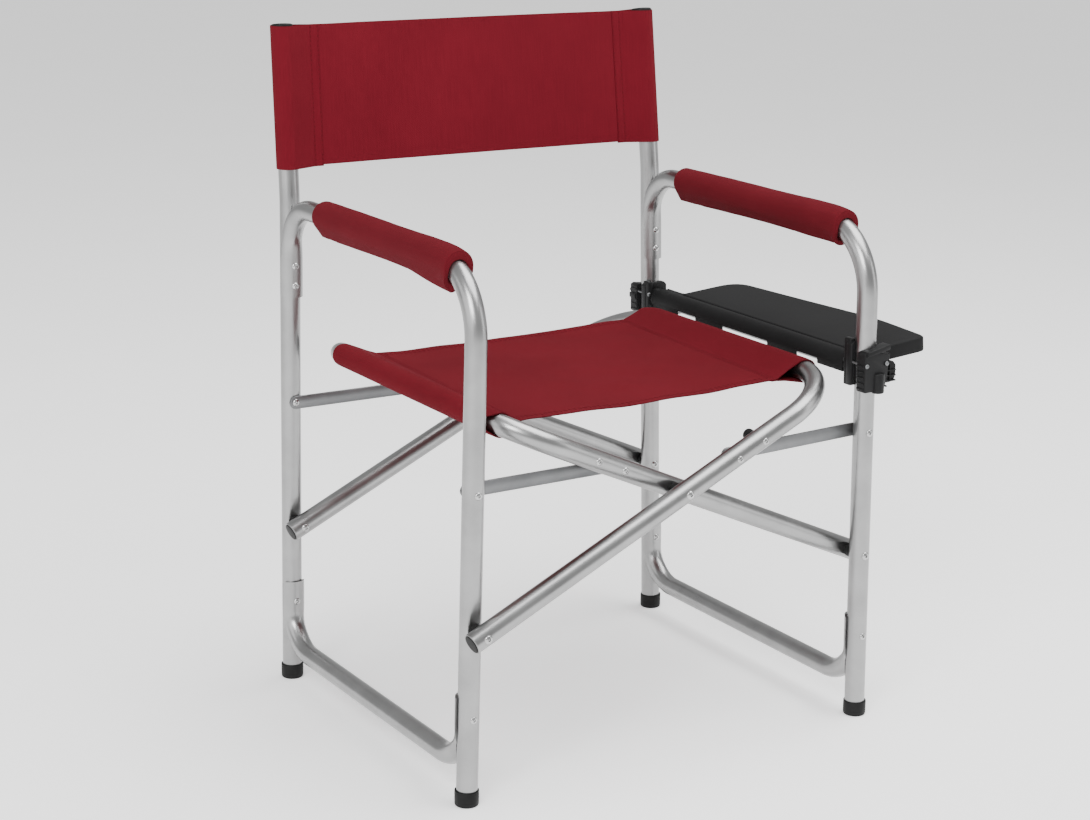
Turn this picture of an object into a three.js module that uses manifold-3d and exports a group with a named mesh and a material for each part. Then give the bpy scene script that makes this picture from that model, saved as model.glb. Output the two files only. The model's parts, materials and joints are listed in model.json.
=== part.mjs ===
// Folding director chair with a side table.
// Millimetres. +X is the sitter's left, where the side table is, +Y is the rear, +Z is up.
// The floor is z = 0 and the origin is the middle of the whole chair's footprint.
import * as THREE from 'three';
import { mergeVertices } from 'three/addons/utils/BufferGeometryUtils.js';
import Module from 'manifold-3d';

const wasm = await Module();
wasm.setup();

// ---- driving dimensions ----
const TUBE_R = 12.5; // every frame tube
const TUBE_INNER_R = 11.1;
const PLUG_R = 10;
const GAP = 0.3; // air kept between pieces that touch
const ARM_GAP = 0.8; // the same beside a seat frame's arm, which runs slightly askew
const LINK_GAP = 1.4;

const HALF_WIDTH = 277.25; // middle of the chair to a side frame, at the floor
const LEAN = THREE.MathUtils.degToRad(1.05); // each side frame leans inward
const FRONT_Y = -229.9; // front legs
const REAR_Y = 229.9; // rear posts at the floor
const REAR_RAKE = 0.0155; // rearward rise of a rear post per millimetre of height
const POST_BEND_Z = 620; // above this the post rakes further
const POST_UPPER_RAKE = 0.1095;
const POST_TOP_Z = 830;
const LEG_BOTTOM_Z = 3.5;

const ARM_Z = 614; // armrest tube's centre line
const ARM_FRONT_BEND = 79;
const ARM_REAR_BEND = 55;
const ARM_END_Z = 499; // lower end of the armrest's saddle on the rear post
const SADDLE_WALL = 2.9;

const STRETCHER_Z = 44.5;
const STRETCHER_BEND = 54;
const STRETCHER_END_Z = 131;

const PIVOT_Z = 210; // seat frames on the legs
const SEAT_ANGLE = THREE.MathUtils.degToRad(24); // slope of a seat frame's arms, opened
const FOLD_ANGLE = THREE.MathUtils.degToRad(58.3); // the same slope, folded
const ARM_OVERHANG = 16; // seat-frame tube past its pivot
const RAIL_FROM_CROSSING = 249.5;
const RAIL_BEND = 82;
const LAYER = 29; // at its pivots a seat frame lies this far in front of or behind the legs
const CROSSING_LAYER = 15.6; // the same at the crossing, as its arms run slightly askew

const LINK_PIVOT_Z = 366; // link rivets on the legs
const LINK_W = 16.4;
const LINK_T = 2.5;
const BUMPER_R = 7.5;
const BUMPER_LENGTH = 15;

const RIVET_R = 3;
const RIVET_HOLE_R = 3.5;
const RIVET_HEAD_R = 4.6;
const RIVET_HEAD_H = 2;

const SLEEVE_R = 17.5; // padded sleeve on an armrest
const SLEEVE_DROP = 24; // its seam, below the tube's centre line
const SLEEVE_ENDS = { left: [-188, 139], right: [-184, 156] };

const CLOTH_T = 1.6;
const BACK_BOTTOM_Z = 658;
const BACK_TOP_Z = 828;
const SEAT_DROP = 5; // seat panel below the rails' centre lines, at its seams
const SEAT_SAG = 4; // further drop in the middle
const SEAM_FROM_RAIL = 40;
const SEAT_LENGTH = 352; // front to rear, with both rails' bends partly covered
const SEAT_SLANT = 8; // the seat's right end lies this far behind its middle, and its left end before it

const TABLE_AXIS_Z = 446; // the tube that the tabletop turns on
const TABLE_TUBE_R = 9.5;
const TABLE_TILT = THREE.MathUtils.degToRad(4); // rises outward
const TABLE_T = 18;
const LIP_R = 14;
const JAW_HALF_W = 17.5;

const ORIGIN_X = -46.7; // moves the chair so that its footprint's middle is the origin
const ORIGIN_Y = -1.6;

// ---- materials ----
const metal = (color, roughness) => new THREE.MeshStandardMaterial({ color, roughness, metalness: 1 });
const plain = (color, roughness) => new THREE.MeshStandardMaterial({ color, roughness, metalness: 0 });
const ALUMINIUM = () => metal(0xb4b6b6, 0.38);
const STEEL = () => metal(0x9a9c9c, 0.42);
const RIVET = () => metal(0xc4c6c6, 0.25);
const BLACK = () => plain(0x17181a, 0.55);
const CLOTH = () => plain(0x80212a, 0.85);
const PADDING = () => plain(0x82252d, 0.8);

// ---- solids ----
function solid(geometry) {
  const bare = geometry.clone();
  bare.deleteAttribute('normal');
  bare.deleteAttribute('uv');
  const merged = mergeVertices(bare, 1e-4);
  return new wasm.Manifold(new wasm.Mesh({
    numProp: 3,
    vertProperties: new Float32Array(merged.attributes.position.array),
    triVerts: new Uint32Array(merged.index.array),
  }));
}

function geometryOf(manifold) {
  const mesh = manifold.getMesh();
  const geometry = new THREE.BufferGeometry();
  geometry.setAttribute('position', new THREE.BufferAttribute(new Float32Array(mesh.vertProperties), 3));
  geometry.setIndex(new THREE.BufferAttribute(new Uint32Array(mesh.triVerts), 1));
  geometry.computeVertexNormals();
  return geometry;
}

function cut(body, ...tools) {
  return tools.reduce((rest, tool) => rest.subtract(tool), body);
}

function join(first, ...others) {
  return others.reduce((all, other) => all.add(other), first);
}

// A centre line that is sampled only at its ends and along its bends.
class BentLine extends THREE.Curve {
  constructor(stations) {
    super();
    this.stations = stations;
  }

  station(t) {
    return this.stations[Math.round(t * (this.stations.length - 1))];
  }

  getPoint(t, target = new THREE.Vector3()) {
    return target.copy(this.station(t).point);
  }

  getPointAt(t, target) {
    return this.getPoint(t, target);
  }

  getTangent(t, target = new THREE.Vector3()) {
    return target.copy(this.station(t).tangent);
  }

  getTangentAt(t, target) {
    return this.getTangent(t, target);
  }
}

// Straight runs between corners, each corner rounded to its radius.
function bentLine(corners, radii, degreesPerStep = 18) {
  const points = corners.map((p) => new THREE.Vector3(...p));
  const last = points.length - 1;
  const along = (a, b) => b.clone().sub(a).normalize();
  const stations = [{ point: points[0], tangent: along(points[0], points[1]) }];
  for (let i = 1; i < last; i++) {
    const before = along(points[i - 1], points[i]);
    const after = along(points[i], points[i + 1]);
    const turn = before.angleTo(after);
    const radius = radii[i - 1];
    const start = points[i].clone().addScaledVector(before, -radius * Math.tan(turn / 2));
    const axis = before.clone().cross(after).normalize();
    const inward = axis.clone().cross(before);
    const centre = start.clone().addScaledVector(inward, radius);
    const steps = Math.max(1, Math.round(THREE.MathUtils.radToDeg(turn) / degreesPerStep));
    for (let k = 0; k <= steps; k++) {
      const angle = (turn * k) / steps;
      stations.push({
        point: centre.clone().add(start.clone().sub(centre).applyAxisAngle(axis, angle)),
        tangent: before.clone().applyAxisAngle(axis, angle),
      });
    }
  }
  stations.push({ point: points[last], tangent: along(points[last - 1], points[last]) });
  return new BentLine(stations);
}

function ring(radius, sides) {
  return Array.from({ length: sides }, (_, i) => {
    const angle = (2 * Math.PI * (i + 0.5)) / sides;
    return new THREE.Vector2(radius * Math.cos(angle), radius * Math.sin(angle));
  });
}

function sweep(line, radius, { sides = 14, bore = 0, boreSides = 8 } = {}) {
  const section = new THREE.Shape(ring(radius, sides));
  if (bore) section.holes.push(new THREE.Path(ring(bore, boreSides)));
  return new THREE.ExtrudeGeometry(section, { steps: line.stations.length - 1, extrudePath: line });
}

// An outline in X and Z, extruded along Y from y0 to y1.
function slab(outline, y0, y1, holes = []) {
  const shape = new THREE.Shape(outline.map(([x, z]) => new THREE.Vector2(x, z)));
  for (const hole of holes) shape.holes.push(new THREE.Path(hole.map(([x, z]) => new THREE.Vector2(x, z))));
  return new THREE.ExtrudeGeometry(shape, { depth: y1 - y0, bevelEnabled: false })
    .rotateX(Math.PI / 2).translate(0, y1, 0);
}

// An outline in X and Y, extruded along Z from z0 to z1.
function plate(outline, z0, z1) {
  const shape = new THREE.Shape(outline.map(([x, y]) => new THREE.Vector2(x, y)));
  return new THREE.ExtrudeGeometry(shape, { depth: z1 - z0, bevelEnabled: false }).translate(0, 0, z0);
}

// A turned piece on an axis along Y, from a closed profile of [radius, y] in either direction.
function turned(profile, x, z, sides = 12) {
  const points = profile.map(([r, y]) => new THREE.Vector2(r, y));
  if (THREE.ShapeUtils.area(points) < 0) points.reverse();
  return new THREE.LatheGeometry(points, sides).translate(x, 0, z);
}

function rod(radius, y0, y1, x, z, sides = 12) {
  return turned([[0, y0], [radius, y0], [radius, y1], [0, y1]], x, z, sides);
}

function box(x0, x1, y0, y1, z0, z1) {
  return new THREE.BoxGeometry(x1 - x0, y1 - y0, z1 - z0)
    .translate((x0 + x1) / 2, (y0 + y1) / 2, (z0 + z1) / 2);
}

function rivetHole(x, z) {
  return solid(rod(RIVET_HOLE_R, -330, 330, x, z, 8));
}

// A rivet along Y whose heads bear at y0 and y1.
function rivet(y0, y1, x, z) {
  const crown = RIVET_HEAD_R * 0.7;
  return turned([
    [0, y0 - RIVET_HEAD_H], [crown, y0 - RIVET_HEAD_H], [RIVET_HEAD_R, y0], [RIVET_R, y0],
    [RIVET_R, y1], [RIVET_HEAD_R, y1], [crown, y1 + RIVET_HEAD_H], [0, y1 + RIVET_HEAD_H],
  ], x, z, 8);
}

const chair = new THREE.Group();
chair.position.set(ORIGIN_X, ORIGIN_Y, 0);

function place(parent, name, geometry, material) {
  const mesh = new THREE.Mesh(geometry, material);
  mesh.name = name;
  parent.add(mesh);
}

// ---- derived geometry ----
const postY = (z) => REAR_Y + REAR_RAKE * Math.min(z, POST_BEND_Z)
  + POST_UPPER_RAKE * Math.max(0, z - POST_BEND_Z);
const frameX = (z) => HALF_WIDTH - Math.sin(LEAN) * z; // a side frame's plane at a height along it
const PIVOT_X = frameX(PIVOT_Z);
const PIVOT_WORLD_Z = PIVOT_Z * Math.cos(LEAN);
const REAR_PIVOT_Y = postY(PIVOT_Z);
const ARM_LENGTH = PIVOT_X / Math.cos(SEAT_ANGLE); // pivot to crossing
const CROSSING_Z = PIVOT_WORLD_Z + ARM_LENGTH * Math.sin(SEAT_ANGLE);

// A link keeps the same length between its rivets with the chair open and folded when the two slopes'
// sines add up to rise * (arm + reach) / (2 * arm * reach), so the reach on the arm follows from the rest.
const LINK_RISE = LINK_PIVOT_Z - PIVOT_Z;
const SINES = Math.sin(SEAT_ANGLE) + Math.sin(FOLD_ANGLE);
const LINK_REACH = (LINK_RISE * ARM_LENGTH) / (2 * ARM_LENGTH * SINES - LINK_RISE);

// A point on a seat frame's arm, at a distance past the crossing. side is the rail's side.
const onArm = (side, reach) => [
  side * reach * Math.cos(SEAT_ANGLE), CROSSING_Z + reach * Math.sin(SEAT_ANGLE),
];
// How far the arm lies behind the legs' middle at that point.
const SKEW = (LAYER - CROSSING_LAYER) / ARM_LENGTH;
const armOffset = (side, reach) => side * (SKEW * reach - CROSSING_LAYER);

// Slope of an opened link, rising from the leg to the arm.
const LINK_SLOPE = Math.atan2(
  CROSSING_Z + LINK_REACH * Math.sin(SEAT_ANGLE) - LINK_PIVOT_Z * Math.cos(LEAN),
  frameX(LINK_PIVOT_Z) - LINK_REACH * Math.cos(SEAT_ANGLE),
);

// ---- side frames ----
const sides = [
  { name: 'left', sign: -1 },
  { name: 'right', sign: 1 },
];

const legLine = bentLine(
  [
    [0, FRONT_Y, LEG_BOTTOM_Z], [0, FRONT_Y, ARM_Z],
    [0, postY(560) - 4, ARM_Z], [0, postY(540) - 4, 540],
  ],
  [ARM_FRONT_BEND, ARM_REAR_BEND],
);
const postLine = bentLine(
  [LEG_BOTTOM_Z, POST_BEND_Z, POST_TOP_Z].map((z) => [0, postY(z), z]),
  [240], 3,
);
const stretcherLine = bentLine(
  [
    [0, FRONT_Y + 3, 108], [0, FRONT_Y + 3, STRETCHER_Z],
    [0, postY(60) - 3, STRETCHER_Z], [0, postY(108) - 3, 108],
  ],
  [STRETCHER_BEND, STRETCHER_BEND],
);

// A short straight length of post or leg, thick enough to clear it, to cut a saddle round it.
function postLength(y0, z0, y1, z1, radius) {
  return solid(sweep(bentLine([[0, y0, z0], [0, y1, z1]], []), radius, { sides: 16 }));
}

// The half shell that a flattened tube end makes round a post. facing is the side it is on, along Y.
function saddle(yAt, z0, z1, facing) {
  const shell = postLength(yAt(z0), z0, yAt(z1), z1, TUBE_R + GAP + SADDLE_WALL);
  const away = yAt(z0) + facing * 2;
  const far = yAt(z0) + facing * 40;
  return shell.intersect(solid(box(-30, 30, Math.min(away, far), Math.max(away, far), z0 - 10, z1 + 10)));
}

function sideFrame({ name, sign }) {
  const frame = new THREE.Group();
  frame.position.x = sign * HALF_WIDTH;
  frame.rotation.y = -sign * LEAN;
  chair.add(frame);

  const legY = () => FRONT_Y;
  const legFixings = [PIVOT_Z, LINK_PIVOT_Z].map((z) => rivetHole(0, z));
  const clearPost = postLength(postY(0), 0, postY(POST_BEND_Z), POST_BEND_Z, TUBE_R + GAP);
  const clearLeg = postLength(FRONT_Y, 0, FRONT_Y, 300, TUBE_R + GAP);

  const legTube = cut(
    join(solid(sweep(legLine, TUBE_R)), saddle(postY, ARM_END_Z, 552, -1)),
    solid(sweep(legLine, TUBE_INNER_R, { sides: 8 })),
    clearPost, ...legFixings,
  );
  place(frame, `${name}_leg_armrest_tube`, geometryOf(legTube), ALUMINIUM());

  const post = cut(
    solid(sweep(postLine, TUBE_R, { bore: TUBE_INNER_R })),
    ...legFixings,
  );
  place(frame, `${name}_rear_post`, geometryOf(post), ALUMINIUM());

  const stretcher = cut(
    join(
      solid(sweep(stretcherLine, TUBE_R)),
      saddle(postY, 96, STRETCHER_END_Z, -1), saddle(legY, 96, STRETCHER_END_Z, 1),
    ),
    solid(sweep(stretcherLine, TUBE_INNER_R, { sides: 8 })),
    clearPost, clearLeg,
  );
  place(frame, `${name}_stretcher`, geometryOf(stretcher), ALUMINIUM());

  const [sleeveFront, sleeveRear] = SLEEVE_ENDS[name];
  const padding = Array.from({ length: 13 }, (_, i) => {
    const angle = THREE.MathUtils.degToRad(-38 + (256 * i) / 12);
    return [SLEEVE_R * Math.cos(angle), ARM_Z + SLEEVE_R * Math.sin(angle)];
  });
  const seam = [[-3, ARM_Z - SLEEVE_DROP], [3, ARM_Z - SLEEVE_DROP]];
  const sleeve = cut(
    solid(slab([...padding, ...seam], sleeveFront, sleeveRear)),
    solid(sweep(legLine, TUBE_R + 0.4)),
  );
  place(frame, `${name}_armrest_sleeve`, geometryOf(sleeve), PADDING());

  const topY = postY(POST_TOP_Z);
  const topCap = turned([
    [0, -9], [PLUG_R, -9], [PLUG_R, GAP], [12.7, GAP], [12.7, 2.6], [10.5, 4.4], [0, 5],
  ], 0, 0, 14).rotateX(Math.PI / 2 - Math.atan(POST_UPPER_RAKE)).translate(0, topY, POST_TOP_Z);
  place(frame, `${name}_post_cap`, topCap, BLACK());

  for (const [end, y] of [['front', FRONT_Y], ['rear', REAR_Y]]) {
    const foot = new THREE.LatheGeometry([
      [0, 0], [12.6, 0], [14.2, 1.8], [14.2, 18.8], [13.3, 18.8], [13.3, 3.1], [0, 3.1],
    ].map(([r, z]) => new THREE.Vector2(r, z)), 14).rotateX(Math.PI / 2).translate(sign * HALF_WIDTH, y, 0);
    place(chair, `${name}_${end}_foot_cap`, foot, BLACK());
  }
  return frame;
}

const frames = Object.fromEntries(sides.map((side) => [side.name, sideFrame(side)]));

// ---- seat frames: each pivots on one side and carries the seat rail of the other ----
// Frame A pivots on the right, behind the legs; frame B pivots on the left, in front of them.
const seatFrames = [
  { name: 'a', rail: -1, pivotSide: 'right' },
  { name: 'b', rail: 1, pivotSide: 'left' },
];

// A point in the middle of an arm's tube, and the middle line of its whole arm and of its whole frame.
function atReach(rail, legsY, reach) {
  const [x, z] = onArm(rail, reach);
  return [x, legsY + armOffset(rail, reach), z];
}
const armLine = (rail, legsY) => [-ARM_LENGTH - ARM_OVERHANG, RAIL_FROM_CROSSING]
  .map((reach) => atReach(rail, legsY, reach));
const seatFrameLine = (rail) => bentLine(
  [...armLine(rail, FRONT_Y), ...armLine(rail, REAR_PIVOT_Y).reverse()],
  [RAIL_BEND, RAIL_BEND],
);

function seatFrame({ name, rail, pivotSide }) {
  const bumperReach = LINK_REACH + (LINK_W / 2 + BUMPER_R + GAP) / Math.sin(SEAT_ANGLE + LINK_SLOPE);
  const holes = [-ARM_LENGTH, 0, LINK_REACH].map((reach) => rivetHole(...onArm(rail, reach)));
  place(chair, `seat_frame_${name}`, geometryOf(cut(
    solid(sweep(seatFrameLine(rail), TUBE_R, { bore: TUBE_INNER_R })), ...holes,
  )), ALUMINIUM());

  const slope = rail * SEAT_ANGLE;
  for (const [end, legsY] of [['front', FRONT_Y], ['rear', REAR_PIVOT_Y]]) {
    const linkFace = end === 'front' ? 1 : -1; // links lie behind the front arms, before the rear ones

    // black plug in the open tube end
    const plug = turned([
      [0, -8], [PLUG_R, -8], [PLUG_R, 0.6], [PLUG_R - 0.8, 1.2], [0, 1.2],
    ], 0, 0, 14).rotateZ(rail * Math.PI / 2).rotateY(-slope).translate(...armLine(rail, legsY)[0]);
    place(chair, `seat_frame_${name}_${end}_plug`, plug, BLACK());

    // pivot rivet and the washer between the two tubes
    const pivotY = legsY + armOffset(rail, -ARM_LENGTH);
    const near = Math.min(pivotY, legsY) - TUBE_R - ARM_GAP;
    const far = Math.max(pivotY, legsY) + TUBE_R + ARM_GAP;
    const pivot = frames[pivotSide];
    place(pivot, `${pivotSide}_${end}_pivot_rivet`, rivet(near, far, 0, PIVOT_Z), RIVET());
    const w0 = Math.min(pivotY, legsY) + TUBE_R + ARM_GAP;
    const w1 = Math.max(pivotY, legsY) - TUBE_R - ARM_GAP;
    place(pivot, `${pivotSide}_${end}_pivot_washer`, turned(
      [[RIVET_HOLE_R, w0], [8.5, w0], [8.5, w1], [RIVET_HOLE_R, w1], [RIVET_HOLE_R, w0]], 0, PIVOT_Z,
    ), BLACK());

    // rivet that holds the link's far end: its head and shank stay in the arm
    const [qx, qy, qz] = atReach(rail, legsY, LINK_REACH);
    const headFace = qy - linkFace * (TUBE_R + ARM_GAP);
    const shankEnd = qy + linkFace * (TUBE_R - 0.2);
    place(chair, `seat_frame_${name}_${end}_link_rivet`, turned([
      [0, headFace - linkFace * RIVET_HEAD_H], [RIVET_HEAD_R * 0.7, headFace - linkFace * RIVET_HEAD_H],
      [RIVET_HEAD_R, headFace], [RIVET_R, headFace], [RIVET_R, shankEnd], [0, shankEnd],
    ], qx, qz, 8), RIVET());

    // bumper that the opened link comes to rest against
    const [bx, by, bz] = atReach(rail, legsY, bumperReach);
    const tip = by + linkFace * (TUBE_R + BUMPER_LENGTH);
    const base = by + linkFace * 6;
    const knob = turned([
      [0, base], [BUMPER_R, base], [BUMPER_R, tip - linkFace * 3], [BUMPER_R * 0.72, tip], [0, tip],
    ], bx, bz, 14);
    const armTube = sweep(bentLine(armLine(rail, legsY), []), TUBE_R + GAP, { sides: 16 });
    place(chair, `seat_frame_${name}_${end}_bumper`, geometryOf(cut(solid(knob), solid(armTube))), BLACK());
  }
}

seatFrames.forEach(seatFrame);

// ---- links ----
function link({ name, sign }, end) {
  const legX = sign * frameX(LINK_PIVOT_Z);
  const legZ = LINK_PIVOT_Z * Math.cos(LEAN);
  const [qx, qz] = onArm(sign, LINK_REACH);
  const length = Math.hypot(qx - legX, qz - legZ);
  const legFace = end === 'front' ? FRONT_Y + TUBE_R + GAP : postY(LINK_PIVOT_Z) - TUBE_R - GAP;
  const armY = (end === 'front' ? FRONT_Y : REAR_PIVOT_Y) + armOffset(sign, LINK_REACH);
  const outward = end === 'front' ? 1 : -1;
  const armFace = armY + outward * (TUBE_R + LINK_GAP);
  const y0 = legFace + outward * LINK_T / 2;
  const y1 = armFace + outward * LINK_T / 2;

  // seen from above the strip steps from the leg's layer to the arm's
  const steps = [[-20, y0], [length - 88, y0], [length - 62, y1], [length + 20, y1]];
  const strip = [
    ...steps.map(([u, y]) => [u, y - LINK_T / 2]),
    ...steps.map(([u, y]) => [u, y + LINK_T / 2]).reverse(),
  ];
  const r = LINK_W / 2;
  const roundEnd = (centre, from) => Array.from({ length: 7 }, (_, i) => {
    const angle = from + (Math.PI * i) / 6;
    return [centre + r * Math.cos(angle), r * Math.sin(angle)];
  });
  const face = [...roundEnd(length, -Math.PI / 2), ...roundEnd(0, Math.PI / 2)];
  const low = Math.min(y0, y1) - 5;
  const high = Math.max(y0, y1) + 5;
  const stripSolid = solid(plate(strip, -r - 1, r + 1));
  const faceSolid = solid(slab(face, low, high));
  const tail = y1 + outward * (LINK_T / 2 - 0.5);
  const tailTop = y1 + outward * (LINK_T / 2 + RIVET_HEAD_H);
  const head = solid(turned([
    [0, tail], [RIVET_HEAD_R, tail], [RIVET_HEAD_R * 0.7, tailTop], [0, tailTop],
  ], length, 0, 10));
  const body = geometryOf(cut(stripSolid.intersect(faceSolid).add(head), rivetHole(0, 0)));

  const link3d = new THREE.Group();
  link3d.position.set(legX, 0, legZ);
  const angle = Math.atan2(qz - legZ, Math.abs(qx - legX));
  link3d.rotation.y = sign < 0 ? -angle : Math.PI + angle;
  chair.add(link3d);
  place(link3d, `${name}_${end}_link`, body, STEEL());

  const legFar = end === 'front' ? FRONT_Y - TUBE_R - GAP : postY(LINK_PIVOT_Z) + TUBE_R + GAP;
  const linkFar = y0 + outward * (LINK_T / 2 + GAP);
  place(frames[name], `${name}_${end}_link_pivot_rivet`,
    rivet(Math.min(legFar, linkFar), Math.max(legFar, linkFar), 0, LINK_PIVOT_Z), RIVET());
}

for (const side of sides) for (const end of ['front', 'rear']) link(side, end);

// ---- crossing: one rivet and one spacer at each end ----
for (const [end, y] of [['front', FRONT_Y], ['rear', REAR_PIVOT_Y]]) {
  const y0 = y - CROSSING_LAYER;
  const y1 = y + CROSSING_LAYER;
  place(chair, `crossing_${end}_rivet`,
    rivet(y0 - TUBE_R - ARM_GAP, y1 + TUBE_R + ARM_GAP, 0, CROSSING_Z), RIVET());
  const s0 = y0 + TUBE_R + ARM_GAP;
  const s1 = y1 - TUBE_R - ARM_GAP;
  place(chair, `crossing_${end}_spacer`, turned(
    [[RIVET_HOLE_R, s0], [7.5, s0], [7.5, s1], [RIVET_HOLE_R, s1], [RIVET_HOLE_R, s0]], 0, CROSSING_Z,
  ), BLACK());
}

// ---- seat and back cloth ----
const [RAIL_X, RAIL_Z] = onArm(1, RAIL_FROM_CROSSING);
const clothOuter = TUBE_R + 0.4 + CLOTH_T;

function circleAt(x, z, radius, sides2) {
  return ring(radius, sides2).map((p) => [x + p.x, z + p.y]);
}

// A cloth sleeve round a tube, pulled to a point at its seam, which is inward of the tube.
function sleeveOutline(x, z, inward, drop) {
  const distance = Math.hypot(inward, drop);
  const towardSeam = Math.atan2(-drop, inward);
  const tangent = Math.acos(clothOuter / distance);
  const arc = Array.from({ length: 13 }, (_, i) => {
    const angle = towardSeam + tangent + ((2 * Math.PI - 2 * tangent) * i) / 12;
    return [x + clothOuter * Math.cos(angle), z + clothOuter * Math.sin(angle)];
  });
  return [...arc, [x + inward, z - drop]];
}

const SEAM_X = RAIL_X - SEAM_FROM_RAIL;
const seatTop = Array.from({ length: 9 }, (_, i) => {
  const x = (SEAM_X + 3) * (i / 4 - 1);
  return [x, RAIL_Z - SEAT_DROP + CLOTH_T / 2 - SEAT_SAG * (1 - (x / SEAM_X) ** 2)];
});
const seatOutline = [...seatTop.map(([x, z]) => [x, z - CLOTH_T]), ...seatTop.reverse()];
const seatMiddle = (REAR_PIVOT_Y + FRONT_Y) / 2;
const clothSlab = (outline) => solid(slab(outline, -SEAT_LENGTH / 2, SEAT_LENGTH / 2));
const seatSheet = geometryOf(cut(
  join(
    clothSlab(seatOutline),
    clothSlab(sleeveOutline(RAIL_X, RAIL_Z, -SEAM_FROM_RAIL, SEAT_DROP)),
    clothSlab(sleeveOutline(-RAIL_X, RAIL_Z, SEAM_FROM_RAIL, SEAT_DROP)),
  ),
  solid(slab(circleAt(RAIL_X, RAIL_Z, TUBE_R + 0.4, 16), -300, 300)),
  solid(slab(circleAt(-RAIL_X, RAIL_Z, TUBE_R + 0.4, 16), -300, 300)),
));
{
  // the cloth lies a little askew between the rails
  const position = seatSheet.attributes.position;
  for (let i = 0; i < position.count; i++) {
    const slant = THREE.MathUtils.clamp(position.getX(i) / RAIL_X, -1, 1) * SEAT_SLANT;
    position.setY(i, position.getY(i) + seatMiddle + slant);
  }
}
const seatCloth = geometryOf(cut(
  solid(seatSheet),
  ...[1, -1].map((rail) => solid(sweep(seatFrameLine(rail), TUBE_R + 0.4, { sides: 20 }))),
));
place(chair, 'seat_cloth', seatCloth, CLOTH());

const backHalf = frameX((BACK_BOTTOM_Z + BACK_TOP_Z) / 2);
const backSolid = cut(
  join(
    solid(plate([
      [-backHalf, -clothOuter], [backHalf, -clothOuter],
      [backHalf, -clothOuter + CLOTH_T], [-backHalf, -clothOuter + CLOTH_T],
    ], BACK_BOTTOM_Z, BACK_TOP_Z)),
    solid(plate(circleAt(-backHalf, 0, clothOuter, 16), BACK_BOTTOM_Z, BACK_TOP_Z)),
    solid(plate(circleAt(backHalf, 0, clothOuter, 16), BACK_BOTTOM_Z, BACK_TOP_Z)),
  ),
  solid(plate(circleAt(-backHalf, 0, TUBE_R + 0.4, 16), 600, 900)),
  solid(plate(circleAt(backHalf, 0, TUBE_R + 0.4, 16), 600, 900)),
);
const backCloth = geometryOf(backSolid);
{
  // it follows the posts' rake and their slight lean towards each other
  const position = backCloth.attributes.position;
  for (let i = 0; i < position.count; i++) {
    const z = position.getZ(i);
    const x = position.getX(i);
    position.setX(i, x + Math.sign(x) * (frameX(z) - backHalf));
    position.setY(i, position.getY(i) + postY(z));
  }
}
place(chair, 'back_cloth', backCloth, CLOTH());

// ---- side table, on the right side frame ----
const tableSide = frames.right;
const clampFrontY = FRONT_Y;
const clampRearY = postY(TABLE_AXIS_Z);

// A clamp's two jaws close on a leg from before and behind; the fixed one also holds the table's tube.
function clamp(end, legY, rakeAt, towards, z0, z1) {
  // towards is the direction along Y from the leg to the tube
  const legBore = solid(sweep(
    bentLine([[0, rakeAt(z0 - 20), z0 - 20], [0, rakeAt(z1 + 20), z1 + 20]], []), TUBE_R + GAP, { sides: 16 },
  ));
  const span = (a, b) => [Math.min(a, b), Math.max(a, b)];
  const boltZ = TABLE_AXIS_Z + 7;
  const boltX = JAW_HALF_W - 2.6;
  const boltHoles = [-boltX, boltX].map((x) => solid(rod(1.9, legY - 40, legY + 40, x, boltZ)));
  const outline = (w, c) => [
    [-w + c, z0], [w - c, z0], [w, z0 + c], [w, z1 - c],
    [w - c, z1], [-w + c, z1], [-w, z1 - c], [-w, z0 + c],
  ];

  const [f0, f1] = span(legY + towards * 6, legY + towards * 20);
  const [b0, b1] = span(legY + towards * 19, legY + towards * 26.5);
  const [t0, t1] = span(legY + towards * 19.8, legY + towards * 30);
  const [s0, s1] = span(legY + towards * 6, legY + towards * 18);
  const seatAt = (x) => TABLE_AXIS_Z + LIP_R - TABLE_T + Math.tan(TABLE_TILT) * x - 0.6;
  const support = [
    [JAW_HALF_W - 4, TABLE_AXIS_Z - 27], [46, TABLE_AXIS_Z - 27], [54, TABLE_AXIS_Z - 22],
    [54, seatAt(54) - 5], [46, seatAt(46)], [24, seatAt(24)], [JAW_HALF_W - 4, seatAt(24) - 4],
  ];
  const fixed = cut(
    join(
      solid(slab(outline(JAW_HALF_W, 2), f0, f1)),
      solid(rod(12.6, b0, b1, 0, TABLE_AXIS_Z, 16)),
      solid(slab(support, s0, s1)),
    ),
    legBore, solid(rod(9.9, t0, t1, 0, TABLE_AXIS_Z, 16)), ...boltHoles,
  );
  place(tableSide, `table_${end}_clamp_fixed_jaw`, geometryOf(fixed), BLACK());

  const [c0, c1] = span(legY - towards * 6, legY - towards * 22);
  const cover = cut(solid(slab(outline(JAW_HALF_W, 2), c0, c1)), legBore, ...boltHoles);
  place(tableSide, `table_${end}_clamp_cover_jaw`, geometryOf(cover), BLACK());

  [['inner', -boltX], ['outer', boltX]].forEach(([which, x]) => {
    const [h0, h1] = span(legY - towards * (22 + GAP), legY + towards * (20 + GAP));
    place(tableSide, `table_${end}_clamp_${which}_bolt`, turned([
      [0, h0 - 2.2], [2.6, h0 - 2.2], [2.6, h0], [1.6, h0],
      [1.6, h1], [2.6, h1], [2.6, h1 + 2.2], [0, h1 + 2.2],
    ], x, boltZ, 8), STEEL());
  });
}

clamp('front', clampFrontY, () => FRONT_Y, 1, 420, 478);
clamp('rear', clampRearY, postY, -1, 424, 467);

place(tableSide, 'table_tube', sweep(
  bentLine([[0, clampFrontY + 20.2, TABLE_AXIS_Z], [0, clampRearY - 20.2, TABLE_AXIS_Z]], []),
  TABLE_TUBE_R, { bore: 8, boreSides: 8, sides: 14 },
), STEEL());

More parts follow.
